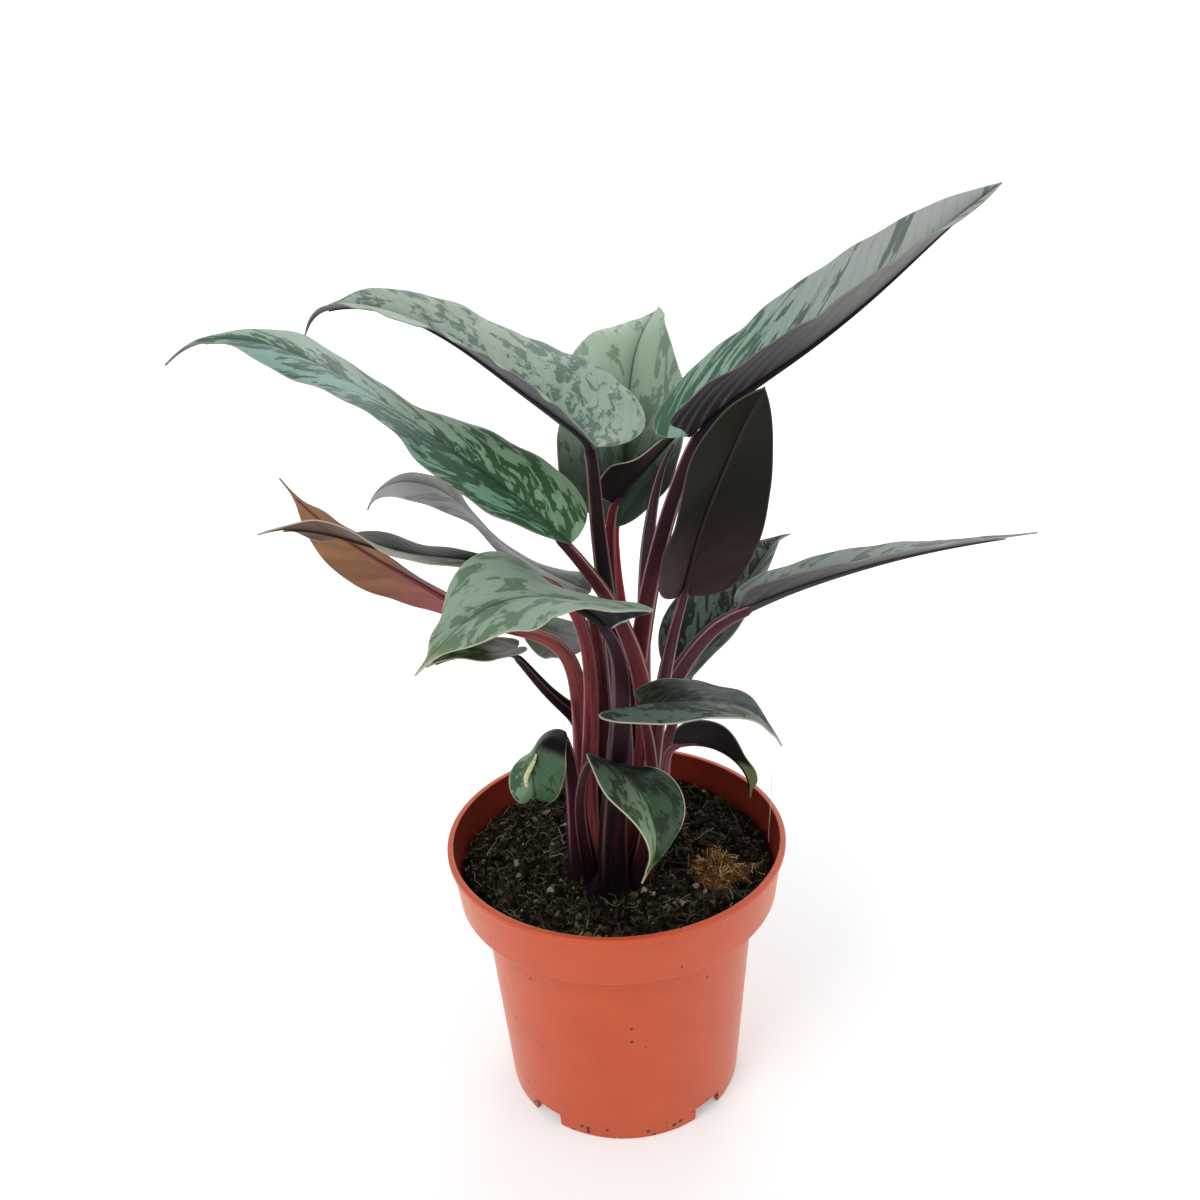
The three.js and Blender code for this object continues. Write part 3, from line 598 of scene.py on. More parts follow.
leaf_rows = {
    "high_left_front": dict(
        base=(-10, -19, 217), length=145, half=23, lobe=7, wave=0.4, tip_droop=14,
        heading=(142, 157, 173, 181, 190), climb=(33, 32, 36, 21, -27),
        left=(25, 5, 8, -10, 20), right=(25, 10, -8, 10, 15),
        foot=(-7, -19), bends=((24, -3, 145), (11, -17, 188)), stalk=(2.4, 1.3), sheath=1.4,
        ground=((128, 160, 128), (146, 168, 152)), blotch=((36, 72, 36), (50, 84, 62)),
        under=((62, 54, 56), (70, 62, 62)), turn=(0.15, 0.6), dark=(0.6, 0.43), patch=(0.13, 0.13),
        shaded_half=-1, half_shade_tint=(0.66, 0.84, 0.9), stalk_colours_and_shade=((20, 10, 14), (140, 52, 56), (88, 44, 46))),
    "high_left_back": dict(
        base=(-1, -5, 243), length=153, half=25, lobe=13, wave=0.45, tip_droop=32,
        heading=(103, 125, 146, 162, 168), climb=(-1, 14, 27, 13, -31),
        left=(50, 45, 30, 10, 30), right=(0, 25, 10, 20, 35),
        foot=(-8, -2), bends=((14, -25, 137), (-3, -11, 190)), stalk=(2.5, 1.6), sheath=1.2,
        ground=((142, 161, 146), (148, 165, 150)), blotch=((74, 103, 86), (80, 103, 90)),
        under=((72, 68, 72), (110, 106, 108)), dark=(0.46, 0.38), patch=(0.17, 0.26), round=0.4,
        stalk_colours_and_shade=((16, 11, 13), (56, 34, 42), (22, 18, 22))),
    "high_right": dict(
        base=(27, -9, 246), length=115, half=22, lobe=18, wave=0.4, hook=0.15,
        heading=(25, 13, 2, -6, -11), climb=(37, 29, 37, 43, 37),
        left=(-10, 25, 40, 50, 80), right=(60, 40, 30, 20, -20),
        foot=(5, -10), bends=((6, 0, 155), (11, -7, 202)), stalk=(2.8, 1.7),
        ground=((136, 164, 148), (160, 165, 162)), blotch=((44, 84, 60), (88, 102, 92)),
        under=((42, 36, 44), (122, 122, 120)), dark=(0.52, 0.38), patch=(0.13, 0.075),
        round=-0.6, margin=0.25, veins=0.9, stalk_colours_and_shade=((30, 18, 22), (124, 50, 56), (48, 28, 36))),
    "long_right": dict(
        base=(45, 13, 179), length=109, half=16, lobe=4, wave=0.25,
        heading=(22, 14, 7, 2, -2), climb=(14, 11, 10, 7, 6),
        left=(15, 5, 0, -10, -10), right=(70, 40, 30, 25, 15),
        foot=(7, 1), bends=((4, 10, 125), (26, 10, 176)), stalk=(2.8, 1.5),
        ground=((99, 114, 104), (124, 137, 129)), blotch=((48, 62, 54), (70, 84, 76)),
        under=((84, 84, 86), (122, 122, 120)), dark=(0.52, 0.47), patch=(0.14, 0.12), veins=0.3,
        stalk_colours_and_shade=((84, 42, 46), (96, 50, 56), (80, 48, 54))),
    "dark_upright": dict(
        base=(24, -15, 197), length=82, half=18, lobe=3, wave=0.2, quilt=0.08, hook=0,
        heading=(-54, -55, -55, -60, -67), climb=(72, 69, 62, 57, 45),
        left=(-40, -55, -30, -15, -15), right=(-10, -15, -15, 10, 30),
        foot=(8, -15), bends=((11, -15, 127), (17, -12, 173)), stalk=(2.1, 1.1), sheath=1.2,
        ground=((82, 101, 89), (82, 101, 89)), blotch=((38, 55, 44), (38, 55, 44)),
        under=((66, 48, 48), (26, 26, 18)), turn=(0.05, 0.5), margin=0.1, veins=0.03,
        stalk_colours_and_shade=((128, 52, 52), (84, 42, 44), (80, 50, 52))),
    "back_right": dict(
        base=(26, 33, 139), length=77, half=20.5, lobe=2, wave=0.25,
        heading=(22, 30, 37, 43, 46), climb=(58, 48, 44, 35, -5),
        left=(10, 35, 10, 0, 30), right=(40, 30, 30, 40, 45),
        foot=(9.2, -6.3), bends=((16, 9, 115), (19, 27, 119)), stalk=(2.1, 1.2),
        ground=((96, 116, 104), (96, 116, 104)), blotch=((18, 30, 22), (20, 32, 24)),
        under=((49, 34, 41), (40, 32, 34)), dark=(0.58, 0.52), patch=(0.14, 0.14),
        stalk_colours_and_shade=((146, 84, 86), (150, 92, 94), (120, 66, 70))),
    # This blade's base, behind the stalks, is painted dark green as shade.
    "back_tall": dict(
        base=(3, 37, 202), length=93, half=27.5, lobe=2, wave=0.6, hook=0,
        heading=(60, 69, 75, 70, 62), climb=(42, 67, 65, 32, 15),
        left=(40, 45, 45, 15, -10), right=(25, 30, 30, 45, 45),
        foot=(0, -6), bends=((19, 6, 129), (1, 7, 178)), stalk=(2.4, 1.3),
        ground=((60, 76, 62), (154, 176, 152)), blotch=((40, 54, 44), (104, 130, 106)),
        under=((62, 51, 56), (70, 62, 62)), turn=(0.2, 0.45), dark=(0.5, 0.42), patch=(0.12, 0.18),
        round=0.3, stalk_colours_and_shade=((40, 22, 24), (118, 44, 48), (150, 30, 38))),
    "folded_centre": dict(
        base=(3, 8, 221), length=34, half=10, lobe=3, wave=0.2,
        heading=(-11, -8, -4, -2, 0), climb=(46, 48, 46, 46, 41),
        left=(5, 10, 15, 20, 25), right=(40, 65, 35, 30, 35),
        foot=(1, 2), bends=((8, 5, 138), (-2, 8, 208)), stalk=(2.0, 1.1),
        ground=((96, 113, 99), (96, 113, 99)), blotch=((49, 65, 53), (49, 65, 53)),
        under=((40, 32, 34), (56, 46, 44)), margin=0.8, veins=0.05,
        stalk_colours_and_shade=((50, 22, 26), (100, 44, 50), (108, 38, 46))),
    "low_right": dict(
        base=(8, -43, 173), length=50, half=16, lobe=13, wave=0.3,
        heading=(-32, -17, -8, -8, -8), climb=(28, 9, -3, -39, -66),
        left=(-10, 0, -10, -5, -15), right=(30, 5, 10, 15, -5),
        foot=(4, -19), bends=((16, -20, 128), (12, -33, 158)), stalk=(1.8, 1.0),
        ground=((88, 108, 96), (90, 108, 98)), blotch=((20, 31, 25), (20, 31, 25)),
        under=((36, 31, 34), (44, 40, 42)), dark=(0.57, 0.54), patch=(0.17, 0.26),
        round=0.6, margin=0.8, shaded_half=-1, half_shade_tint=(0.3, 0.42, 0.36),
        stalk_colours_and_shade=((34, 18, 22), (70, 24, 34), (80, 34, 42))),
    "drooping_right": dict(
        base=(22, 14, 127), length=45, half=11, lobe=3, wave=0.15, quilt=0.3,
        heading=(13, 11, 9, 6, 1), climb=(7, -19, -42, -65, -100),
        left=(-30, -20, -10, 0, 30), right=(90, 75, 30, 25, 10),
        foot=(11.7, -2), bends=((21.5, 2, 106), (15, 11, 127)), stalk=(1.4, 0.9),
        ground=((84, 98, 80), (110, 128, 96)), blotch=((38, 50, 38), (60, 80, 52)),
        under=((46, 40, 42), (58, 54, 52)), veins=0.05, tip=1.0,
        stalk_colours_and_shade=((112, 66, 68), (140, 92, 94), (80, 50, 54))),
    "small_front": dict(
        base=(-7, -38, 155), length=56, half=13.5, lobe=0, wave=0.25,
        heading=(-35, -33, -35, -36, -37), climb=(-4, -33, -70, -105, -112),
        left=(-50, -20, 20, 10, 5), right=(30, 5, 20, 20, 15),
        foot=(-8.8, -14.2), bends=((-10, -22, 114), (-14, -36, 138)), stalk=(1.6, 1.0),
        ground=((72, 94, 76), (112, 144, 102)), blotch=((22, 36, 25), (44, 68, 38)),
        under=((36, 31, 31), (44, 40, 38)), turn=(0.1, 0.6), dark=(0.54, 0.44), patch=(0.15, 0.2),
        round=0.4, margin=0.9, tip=0.6, shaded_half=-1, half_shade_tint=(0.2, 0.28, 0.22),
        stalk_colours_and_shade=((20, 10, 12), (34, 16, 20), (50, 24, 30))),
    "wide_left_front": dict(
        base=(1, -45, 200), length=67, half=24.5, lobe=16, wave=0.6, quilt=0.3,
        heading=(151, 175, 202, 214, 221), climb=(43, 15, -6, -30, -34),
        left=(100, 20, 0, 10, 15), right=(30, -15, 20, -15, -20),
        foot=(-1.2, -21.5), bends=((-4, -25, 133), (10, -37, 183)), stalk=(2.4, 1.3), sheath=1.9,
        ground=((140, 162, 144), (136, 158, 138)), blotch=((88, 112, 90), (84, 108, 80)),
        under=((44, 44, 45), (62, 63, 62)), dark=(0.42, 0.44), patch=(0.085, 0.16),
        round=0.8, margin=0.8, tip=0.4, stalk_colours_and_shade=((12, 8, 9), (22, 12, 15), (50, 32, 40))),
    "twisted_left": dict(
        base=(-34, 1, 203), length=77, half=14, lobe=0, wave=0.3,
        heading=(182, 190, 196, 199, 201), climb=(18, 12, 25, 20, -11),
        left=(10, 10, 10, 35, 50), right=(5, -5, 5, -35, -10),
        foot=(-4, -10), bends=((-20, -12, 129), (17, -6, 201)), stalk=(2.1, 1.1), sheath=0.9,
        ground=((112, 119, 100), (166, 162, 150)), blotch=((70, 78, 58), (128, 124, 110)),
        under=((60, 48, 44), (104, 84, 70)), turn=(0.2, 0.5), dark=(0.5, 0.46), patch=(0.12, 0.1),
        margin=0.9, shade_from=-5, half_shade_tint=(0.06, 0.1, 0.05),
        stalk_colours_and_shade=((156, 84, 86), (146, 60, 62), (140, 66, 68))),
    "rosy_left": dict(
        base=(-36, 9, 179), length=89, half=18, lobe=1, wave=0.4, quilt=0.2,
        heading=(168, 169, 171, 168, 165), climb=(25, 31, 31, 40, 52),
        left=(45, 30, 35, 45, 25), right=(-40, -50, -70, -85, -50),
        foot=(-9.6, -8.6), bends=((-12, 11, 165), (-3, 3, 174)), stalk=(2.3, 1.3), sheath=0.9,
        ground=((77, 92, 78), (77, 92, 78)), blotch=((35, 49, 37), (35, 49, 37)),
        under=((150, 78, 82), (144, 104, 76)), turn=(0.15, 0.65), margin=0.2, veins=0.1,
        stalk_colours_and_shade=((56, 22, 30), (148, 66, 68), (152, 78, 76))),
    # This blade's pale grey is partly its own silver and partly painted sheen, the bright sky's reflection on
    # a blade seen at a low angle.
    "grey_left": dict(
        base=(-5, 11, 189), length=94, half=14, lobe=5, wave=0.35, hook=0.15,
        heading=(174, 169, 166, 163, 159), climb=(22, 32, 46, 5, -67),
        left=(5, 10, 15, -25, -40), right=(30, -20, -25, 5, 20),
        foot=(-3, -2), bends=((-6, 12, 147), (0, 11, 161)), stalk=(2.0, 1.1), sheath=1.7,
        ground=((168, 170, 168), (176, 178, 178)), blotch=((120, 124, 118), (136, 138, 136)),
        under=((120, 118, 118), (150, 148, 148)), dark=(0.42, 0.35), patch=(0.12, 0.1),
        margin=0.3, half_shade_tint=(0.62, 0.68, 0.62), stalk_colours_and_shade=((110, 60, 64), (136, 80, 82), (118, 58, 60))),
    "low_left": dict(
        base=(-30, -3, 175), length=31, half=10, lobe=6, wave=0.15,
        heading=(-166, -162, -159, -157, -156), climb=(-5, 6, 10, -5, -20),
        left=(40, 15, 10, 20, 20), right=(-10, 10, 10, 5, -5),
        foot=(-12, -4), bends=((-7, 27, 155), (-7, 4, 130)), stalk=(1.8, 1.0), sheath=2.6,
        ground=((150, 150, 148), (86, 106, 74)), blotch=((120, 120, 116), (34, 48, 28)),
        under=((110, 101, 100), (110, 101, 100)), turn=(0.2, 0.38), dark=(0.3, 0.5), margin=0.5,
        stalk_colours_and_shade=((40, 24, 28), (40, 24, 28), (36, 22, 26))),
    # This blade's base is painted near black as shade, over about its first quarter.
    "curled_left": dict(
        base=(-15, -17, 151), length=41, half=11, lobe=0, wave=0.15, quilt=0.2,
        heading=(-159, -132, -106, -84, -68), climb=(22, -30, -84, -130, -170),
        left=(-10, -10, -10, 20, 60), right=(-5, -45, -40, 10, 50),
        foot=(-12.9, -12.2), bends=((-14, -12, 111), (-13, -11, 138)), stalk=(2.0, 1.1), sheath=1.5,
        ground=((20, 15, 17), (112, 142, 110)), blotch=((14, 10, 12), (48, 76, 52)),
        under=((20, 17, 18), (30, 26, 26)), turn=(0.24, 0.32), dark=(0.5, 0.44), patch=(0.2, 0.3),
        round=0.8, margin=0.4, tip=0.2, shaded_half=-1, half_shade_tint=(0.36, 0.46, 0.38),
        stalk_colours_and_shade=((44, 24, 30), (84, 26, 44), (60, 28, 38))),
    "back_left": dict(
        base=(-3, 20, 167), length=69, half=14, lobe=3, wave=0.2,
        heading=(106, 113, 122, 133, 142), climb=(-25, -18, -12, 5, 20),
        left=(-25, -20, -25, -30, -30), right=(0, 0, 0, 0, 0),
        foot=(-4, 3), bends=((-4, 16, 130), (0, 11, 171)), stalk=(1.8, 1.0),
        ground=((62, 74, 56), (62, 74, 54)), blotch=((18, 26, 16), (20, 30, 18)),
        under=((46, 38, 38), (46, 38, 38)), stalk_colours_and_shade=((70, 38, 44), (104, 58, 64), (104, 58, 64))),
}
leaf_rows = {name: {**usual_leaf, **row} for name, row in leaf_rows.items()}
blade_rows, blade_columns, blade_curl = 110, 45, 16
blade_thick, margin_thick = 0.6, 0.34
lobe_reach, midrib_steps = 0.3, 96
hook_from, hook_run, droop_from, droop_run = 0.78, 0.17, 0.90, 0.07
vein_slope, vein_bend, vein_gap, under_vein_gap = 1.15, 0.010, 5.2, 8.4


def seen(*colour):
    """A colour as the eye sees it, 0 to 255, made linear."""
    share = np.array(colour) / 255
    return np.where(share <= 0.04045, share / 12.92, ((share + 0.055) / 1.055) ** 2.4)


def smooth(stations, share):
    """A smooth curve through even stations, read at the shares given."""
    values = np.asarray(stations, float)
    first = 2 * values[0] - values[1]
    last = 2 * values[-1] - values[-2]
    padded = np.concatenate([[first], values, [last]])
    place = np.clip(share, 0, 1) * (len(values) - 1)
    i = np.minimum(place.astype(int), len(values) - 2)
    f = place - i
    a, b, c, d = (padded[i + k] for k in range(4))
    return b + f * ((c - a) + f * (2 * a - 5 * b + 4 * c - d + f * (3 * b - a - 3 * c + d))) / 2


def leaf_axes(leaf, share):
    """The midrib's direction, the right-hand side and the upper side at each share of the leaf."""
    heading = np.radians(smooth(leaf["heading"], share))
    droop = np.clip((share - droop_from) / droop_run, 0, 1)
    climb = np.radians(smooth(leaf["climb"], share) - leaf["tip_droop"] * droop)
    ahead = np.stack([np.cos(heading) * np.cos(climb), np.sin(heading) * np.cos(climb), np.sin(climb)], 1)
    side = np.stack([np.sin(heading), -np.cos(heading), 0 * heading], 1)
    return ahead, side, np.cross(side, ahead)


def midrib(leaf, share):
    """Points on the midrib, walked from the base along the leaf's own direction."""
    middles = (np.arange(midrib_steps) + 0.5) / midrib_steps
    strides = leaf_axes(leaf, middles)[0] * leaf["length"] / midrib_steps
    walked = np.concatenate([np.zeros((1, 3)), np.cumsum(strides, 0)]) + np.array(leaf["base"], float)
    marks = np.linspace(0, 1, midrib_steps + 1)
    return np.stack([np.interp(share, marks, walked[:, k]) for k in range(3)], 1)


def half_width(leaf, share):
    """Half the blade's width: a rounded base and a drawn-out tip."""
    base, tip = 0.55, 0.95
    widest = base ** base * tip ** tip / (base + tip) ** (base + tip)
    width = leaf["half"] * np.clip(share, 0, 1) ** base * np.clip(1 - share, 0, 1) ** tip / widest
    hook = np.clip((share - hook_from) / hook_run, 0, 1)
    return width * (1 - leaf["hook"] * hook * hook * (3 - 2 * hook))


def blade_surface(leaf, share, across, seed):
    """The mid-surface as a grid of points, with the distances that the finish reads."""
    ahead, side, up = leaf_axes(leaf, share)
    middle = midrib(leaf, share)
    width = np.maximum(half_width(leaf, share), 0.25)
    left, right = smooth(leaf["left"], share), smooth(leaf["right"], share)
    v = across[None, :]
    out = np.abs(v)
    rise = np.radians(np.where(v < 0, left[:, None], right[:, None]) + blade_curl * (1 - out) / 2)
    reach = out * width[:, None]
    lobe = leaf["lobe"] * np.sin(np.pi * np.minimum(1, share / lobe_reach))[:, None] * out
    direction = (np.sign(v) * np.cos(rise))[..., None] * side[:, None] + np.sin(rise)[..., None] * up[:, None]
    points = middle[:, None] + direction * reach[..., None] - ahead[:, None] * lobe[..., None]
    lengthwise, crosswise = np.gradient(points, axis=0), np.gradient(points, axis=1)
    normal = np.cross(crosswise, lengthwise)
    normal /= np.linalg.norm(normal, axis=2)[..., None] + 1e-12
    normal[0], normal[-1] = normal[1], normal[-2]
    along = share[:, None] * leaf["length"] - lobe
    vein = along - reach * vein_slope - reach ** 2 * vein_bend
    wave = np.sin(along * 0.23 + seed + np.sign(v) * 1.3) + 0.6 * np.sin(along * 0.41 + seed * 2.1)
    quilt = np.cos(vein * 2 * np.pi / vein_gap) * np.minimum(1, reach / 3) * (1 - out ** 4)
    groove = np.exp(-(reach / 0.9) ** 2)
    fade = np.minimum(1, width / 6)[:, None]
    lift = leaf["wave"] * wave * out ** 2.5 * fade
    lift = lift + 0.10 * leaf["quilt"] * quilt * fade - 0.25 * groove * fade
    points = points + normal * lift[..., None]
    edge = width[:, None] * (1 - out)
    return points, normal, along, np.sign(v) * reach, edge


def add_fields(piece, fields):
    """Stores three numbers for each point of a piece, under each field's name."""
    for key, values in fields.items():
        data = values.reshape(-1, 3).astype(np.float32).ravel()
        piece.data.attributes.new(key, "FLOAT_VECTOR", "POINT").data.foreach_set("vector", data)


def blade_object(name, leaf, finishes, seed):
    """A blade: the upper skin, the under skin and the rim between them, as one closed body."""
    t = np.linspace(0, 1, blade_rows)
    share = t * 0.55 + 0.45 * t * t * (3 - 2 * t)
    k = np.linspace(-1, 1, blade_columns)
    across = np.sign(k) * np.abs(k) ** 0.92
    middle, normal, along, reach, edge = blade_surface(leaf, share, across, seed)
    half = (margin_thick + (blade_thick - margin_thick) * (1 - np.abs(across[None, :]) ** 6)) / 2
    half = np.broadcast_to(half, edge.shape)[..., None]
    upper, under = middle + normal * half, middle - normal * half
    points = np.concatenate([upper.reshape(-1, 3), under.reshape(-1, 3)]) * MM
    count = blade_rows * blade_columns
    grid = np.arange(count).reshape(blade_rows, blade_columns)
    a, b, c, d = grid[:-1, :-1], grid[:-1, 1:], grid[1:, 1:], grid[1:, :-1]
    top = np.stack([a, b, c, d], -1).reshape(-1, 4)
    below = np.stack([a, d, c, b], -1).reshape(-1, 4) + count
    ring = np.concatenate([grid[0, :], grid[1:, -1], grid[-1, -2::-1], grid[-2:0:-1, 0]])
    after = np.roll(ring, -1)
    rim = np.stack([after, ring, ring + count, after + count], -1)
    faces = np.concatenate([top, below, rim])
    finish = np.repeat([0, 1, 2], [len(top), len(below), len(rim)])
    made = mesh_object(name, points, faces.tolist(), finishes, finish, sharp=65)
    shares = np.broadcast_to(share[:, None], edge.shape)
    start, end = leaf["turn"]
    far = np.clip((shares - start) / (end - start), 0, 1)
    far = (far * far * (3 - 2 * far))[..., None]

    def blend(pair):
        return seen(*pair[0]) * (1 - far) + seen(*pair[1]) * far

    # Painted shade: one half of the blade is darkened and a little recoloured, from near the midrib out.
    shaded_half = np.clip((reach * leaf["shaded_half"] - leaf["shade_from"]) / 2 + 0.3, 0, 1)[..., None]
    half_shade_tint = 1 - shaded_half * (1 - np.array(leaf["half_shade_tint"]))
    dark = leaf["dark"][0] * (1 - far[..., 0]) + leaf["dark"][1] * far[..., 0]
    fields = {
        "leaf_place": np.stack([along, reach, shares], -1),
        "leaf_edge": np.stack([edge, 0 * edge + seed, dark], -1),
        "leaf_ground": blend(leaf["ground"]) * half_shade_tint,
        "leaf_blotch": blend(leaf["blotch"]) * half_shade_tint,
        "leaf_under": blend(leaf["under"]),
        "leaf_accents": np.broadcast_to([leaf["margin"], leaf["veins"], leaf["round"]], (*edge.shape, 3)),
        "leaf_patch": np.broadcast_to([*leaf["patch"], leaf["tip"]], (*edge.shape, 3)),
    }
    add_fields(made, {key: np.stack([values, values]) for key, values in fields.items()})
    return made


class BladeFinish(Finish):
    """A finish that reads where each point of its blade lies, in millimetres."""

    def __init__(self, name, specular):
        super().__init__(name, 0.5, specular)
        self.along, self.across, self.share = self.parts("leaf_place")
        self.edge, self.seed, self.dark = self.parts("leaf_edge")
        self.margin, self.veins, self.round = self.parts("leaf_accents")
        self.reach = abs(self.across)
        self.vein = self.along - self.reach * vein_slope - self.reach * self.reach * vein_bend

    def cloud(self, slant, widthwise, lengthwise, shift, *look):
        """Noise drawn out along a slant. Its two rates are features per millimetre."""
        return self.drawn(slant * widthwise, self.across * lengthwise, (self.seed + shift) * 3.7, *look)

    def pale_margin(self, colour, pale):
        """The colour with a thin pale line along the blade's edge."""
        return self.mix((1 - self.step(self.edge, 0.2, 0.5)) * self.margin, colour, pale)


upper_side = BladeFinish("Leaf upper side", 0.22)
patch_wide, patch_long, tip_amount = upper_side.parts("leaf_patch")
slant = upper_side.vein + (upper_side.along - upper_side.vein) * upper_side.round
blotches = upper_side.cloud(slant, patch_wide, patch_long, 0, 6, 0.55, 0.5)
islands = upper_side.cloud(slant, patch_wide * 1.7, patch_long * 1.5, 9, 5, 0.55, 0.8)
zones = upper_side.cloud(upper_side.vein, 0.05, 0.05, 4, 2)
fine = upper_side.cloud(upper_side.vein, 1.1, 0.5, 2, 4, 0.6)
level = blotches + (zones - 0.5) * 0.55 + (upper_side.dark - 0.5) * 0.45
blotch_mask = upper_side.step(level, 0.490, 0.505)
half_tone = upper_side.step(level, 0.44, 0.50)
island_mask = upper_side.step(islands, 0.56, 0.58)
ground, blotch = upper_side.field("leaf_ground"), upper_side.field("leaf_blotch")
silver = upper_side.mix(fine * 0.55 + half_tone * 0.18, ground, upper_side.mix(0.5, ground, blotch))
deep = upper_side.mix(island_mask * 0.85, blotch, silver)
leaf_colour = upper_side.mix(blotch_mask * 0.92, silver, deep)
vein_turn = upper_side.node("Math", {"operation": "PINGPONG"}, {0: upper_side.vein, 1: vein_gap / 2})
vein_line = (1 - upper_side.step(vein_turn, 0.05, 0.35)) * upper_side.step(upper_side.reach, 0.5, 2.0)
leaf_colour = upper_side.mix(vein_line * 0.15, leaf_colour, blotch)
shade_green = upper_side.mix(0.6, blotch, (0.012, 0.022, 0.014))
midrib_line = 1 - upper_side.step(upper_side.reach, 0.3, 0.8)
midrib_shade = 1 - upper_side.step(upper_side.reach, 0.0, 5.0)
leaf_colour = upper_side.mix(midrib_line * 0.6 + midrib_shade * 0.18, leaf_colour, shade_green)
tip_mask = upper_side.step(upper_side.share, 0.80, 0.98) * tip_amount
leaf_colour = upper_side.mix(tip_mask, leaf_colour, (0.40, 0.44, 0.12))
leaf_colour = upper_side.pale_margin(leaf_colour, (0.50, 0.50, 0.38))
upper_side.paint({"Base Color": leaf_colour, "Roughness": 0.40 + fine * 0.16})
leather = upper_side.cloud(upper_side.vein, 1.6, 0.9, 0, 3)
upper_side.bump(fine * 0.5 + vein_line * -0.5 + leather * 0.8, 0.00028, 0.5)

under_side = BladeFinish("Leaf underside", 0.07)
cloud = under_side.cloud(under_side.vein, 0.14, 0.07, 0, 4)
streak = under_side.cloud(under_side.vein, 0.7, 0.10, 5, 5, 0.6)
under = under_side.field("leaf_under")
under_dark = under_side.mix(0.6, under, (0.012, 0.008, 0.008))
under_colour = under_side.mix(under_side.step(cloud, 0.35, 0.7) * 0.45 + streak * 0.2, under, under_dark)
under_turn = under_side.node("Math", {"operation": "PINGPONG"}, {0: under_side.vein, 1: under_vein_gap / 2})
under_vein = 1 - under_side.step(under_turn, 0.1, 1.5)
# Near the base, the swells between the veins carry a pale painted highlight.
under_ridge_highlight = under_side.step(under_turn, 1.8, 4.1)
vein_fade = under_side.veins * (1 - under_side.step(under_side.share, 0.12, 0.42)) * (0.4 + cloud)
under_colour = under_side.mix(under_vein * vein_fade * 0.6, under_colour, under_dark)
under_colour = under_side.mix(under_ridge_highlight * vein_fade * 0.25, under_colour, (0.30, 0.28, 0.28))
keel = 1 - under_side.step(under_side.reach, 0.4, 2.2)
under_colour = under_side.mix(keel * 0.6, under_colour, under_dark)
tip_mask = under_side.step(under_side.share, 0.58, 0.70) * under_side.parts("leaf_patch")[2]
under_colour = under_side.mix(tip_mask, under_colour, (0.40, 0.54, 0.24))
under_colour = under_side.pale_margin(under_colour, (0.36, 0.33, 0.28))
under_side.paint({"Base Color": under_colour, "Roughness": 0.46 + cloud * 0.14})
leather = under_side.cloud(under_side.vein, 1.4, 0.8, 0, 3)
under_side.bump((under_ridge_highlight - under_vein) * under_side.veins * 0.8 + leather * 0.5, 0.00030, 0.5)

leaf_margin = Finish("Leaf margin", 0.5, 0.3)
margin_amount = leaf_margin.parts("leaf_accents")[0]
margin_grain = leaf_margin.drawn(leaf_margin.parts("leaf_place")[0] * 0.2, 0, 0, 2, 0.55)
margin_dark = leaf_margin.mix(0.5, leaf_margin.field("leaf_blotch"), leaf_margin.field("leaf_under"))
margin_pale = leaf_margin.mix(margin_grain, (0.46, 0.44, 0.32), (0.30, 0.28, 0.20))
leaf_margin.paint({"Base Color": leaf_margin.mix(margin_amount, margin_dark, margin_pale)})

for number, (name, leaf) in enumerate(leaf_rows.items()):
    blade = blade_object("Blade_" + name, leaf, [upper_side, under_side, leaf_margin], number * 1.7 + 1)
    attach(blade, "root")
    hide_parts("blade_" + name)

# The stalks. Each is one wine red rod that rises from the clump's hole, bends into its blade and
# runs on under it as the midrib. Two ridges follow its length with painted highlights along them,
# and it swells at the foot, where the real stalk sheathes the next one. Its colour holds painted
# shade, darkest at the foot in the clump and where leaves hang over it.
foot_height, clump_floor = 88, 80.35
rise_steps, rib_steps, rib_end, rib_tip_size = 60, 46, 0.9, 0.22
stalk_sides, ridge_spread, ridge_width = 28, 8 * math.pi / 28, 0.20


def bezier(points, count):
    t = np.linspace(0, 1, count)[:, None]
    a, b, c, d = (np.array(p, float) for p in points)
    return a * (1 - t) ** 3 + b * 3 * t * (1 - t) ** 2 + c * 3 * t * t * (1 - t) + d * t ** 3


def rib_line(leaf, share, radius):
    """The midrib's middle under the blade, half sunk in the underside."""
    side, up = leaf_axes(leaf, share)[1:]
    left, right = smooth(leaf["left"], share), smooth(leaf["right"], share)
    roll = np.radians((right - left) / 2)[:, None]
    down = side * np.sin(roll) - up * np.cos(roll)
    return midrib(leaf, share) + down * (radius * 0.55 + blade_thick / 2 + 0.28)[:, None]


def rounded_line(line, middle, reach=8, passes=12):
    """The line with the kink where the stalk meets the blade eased over a few points."""
    line = line.copy()
    low, high = middle - reach, middle + reach
    for _ in range(passes):
        between = (line[low - 1:high - 1] + line[low + 1:high + 1]) / 2
        line[low:high] = line[low:high] + 0.5 * (between - line[low:high])
    return line


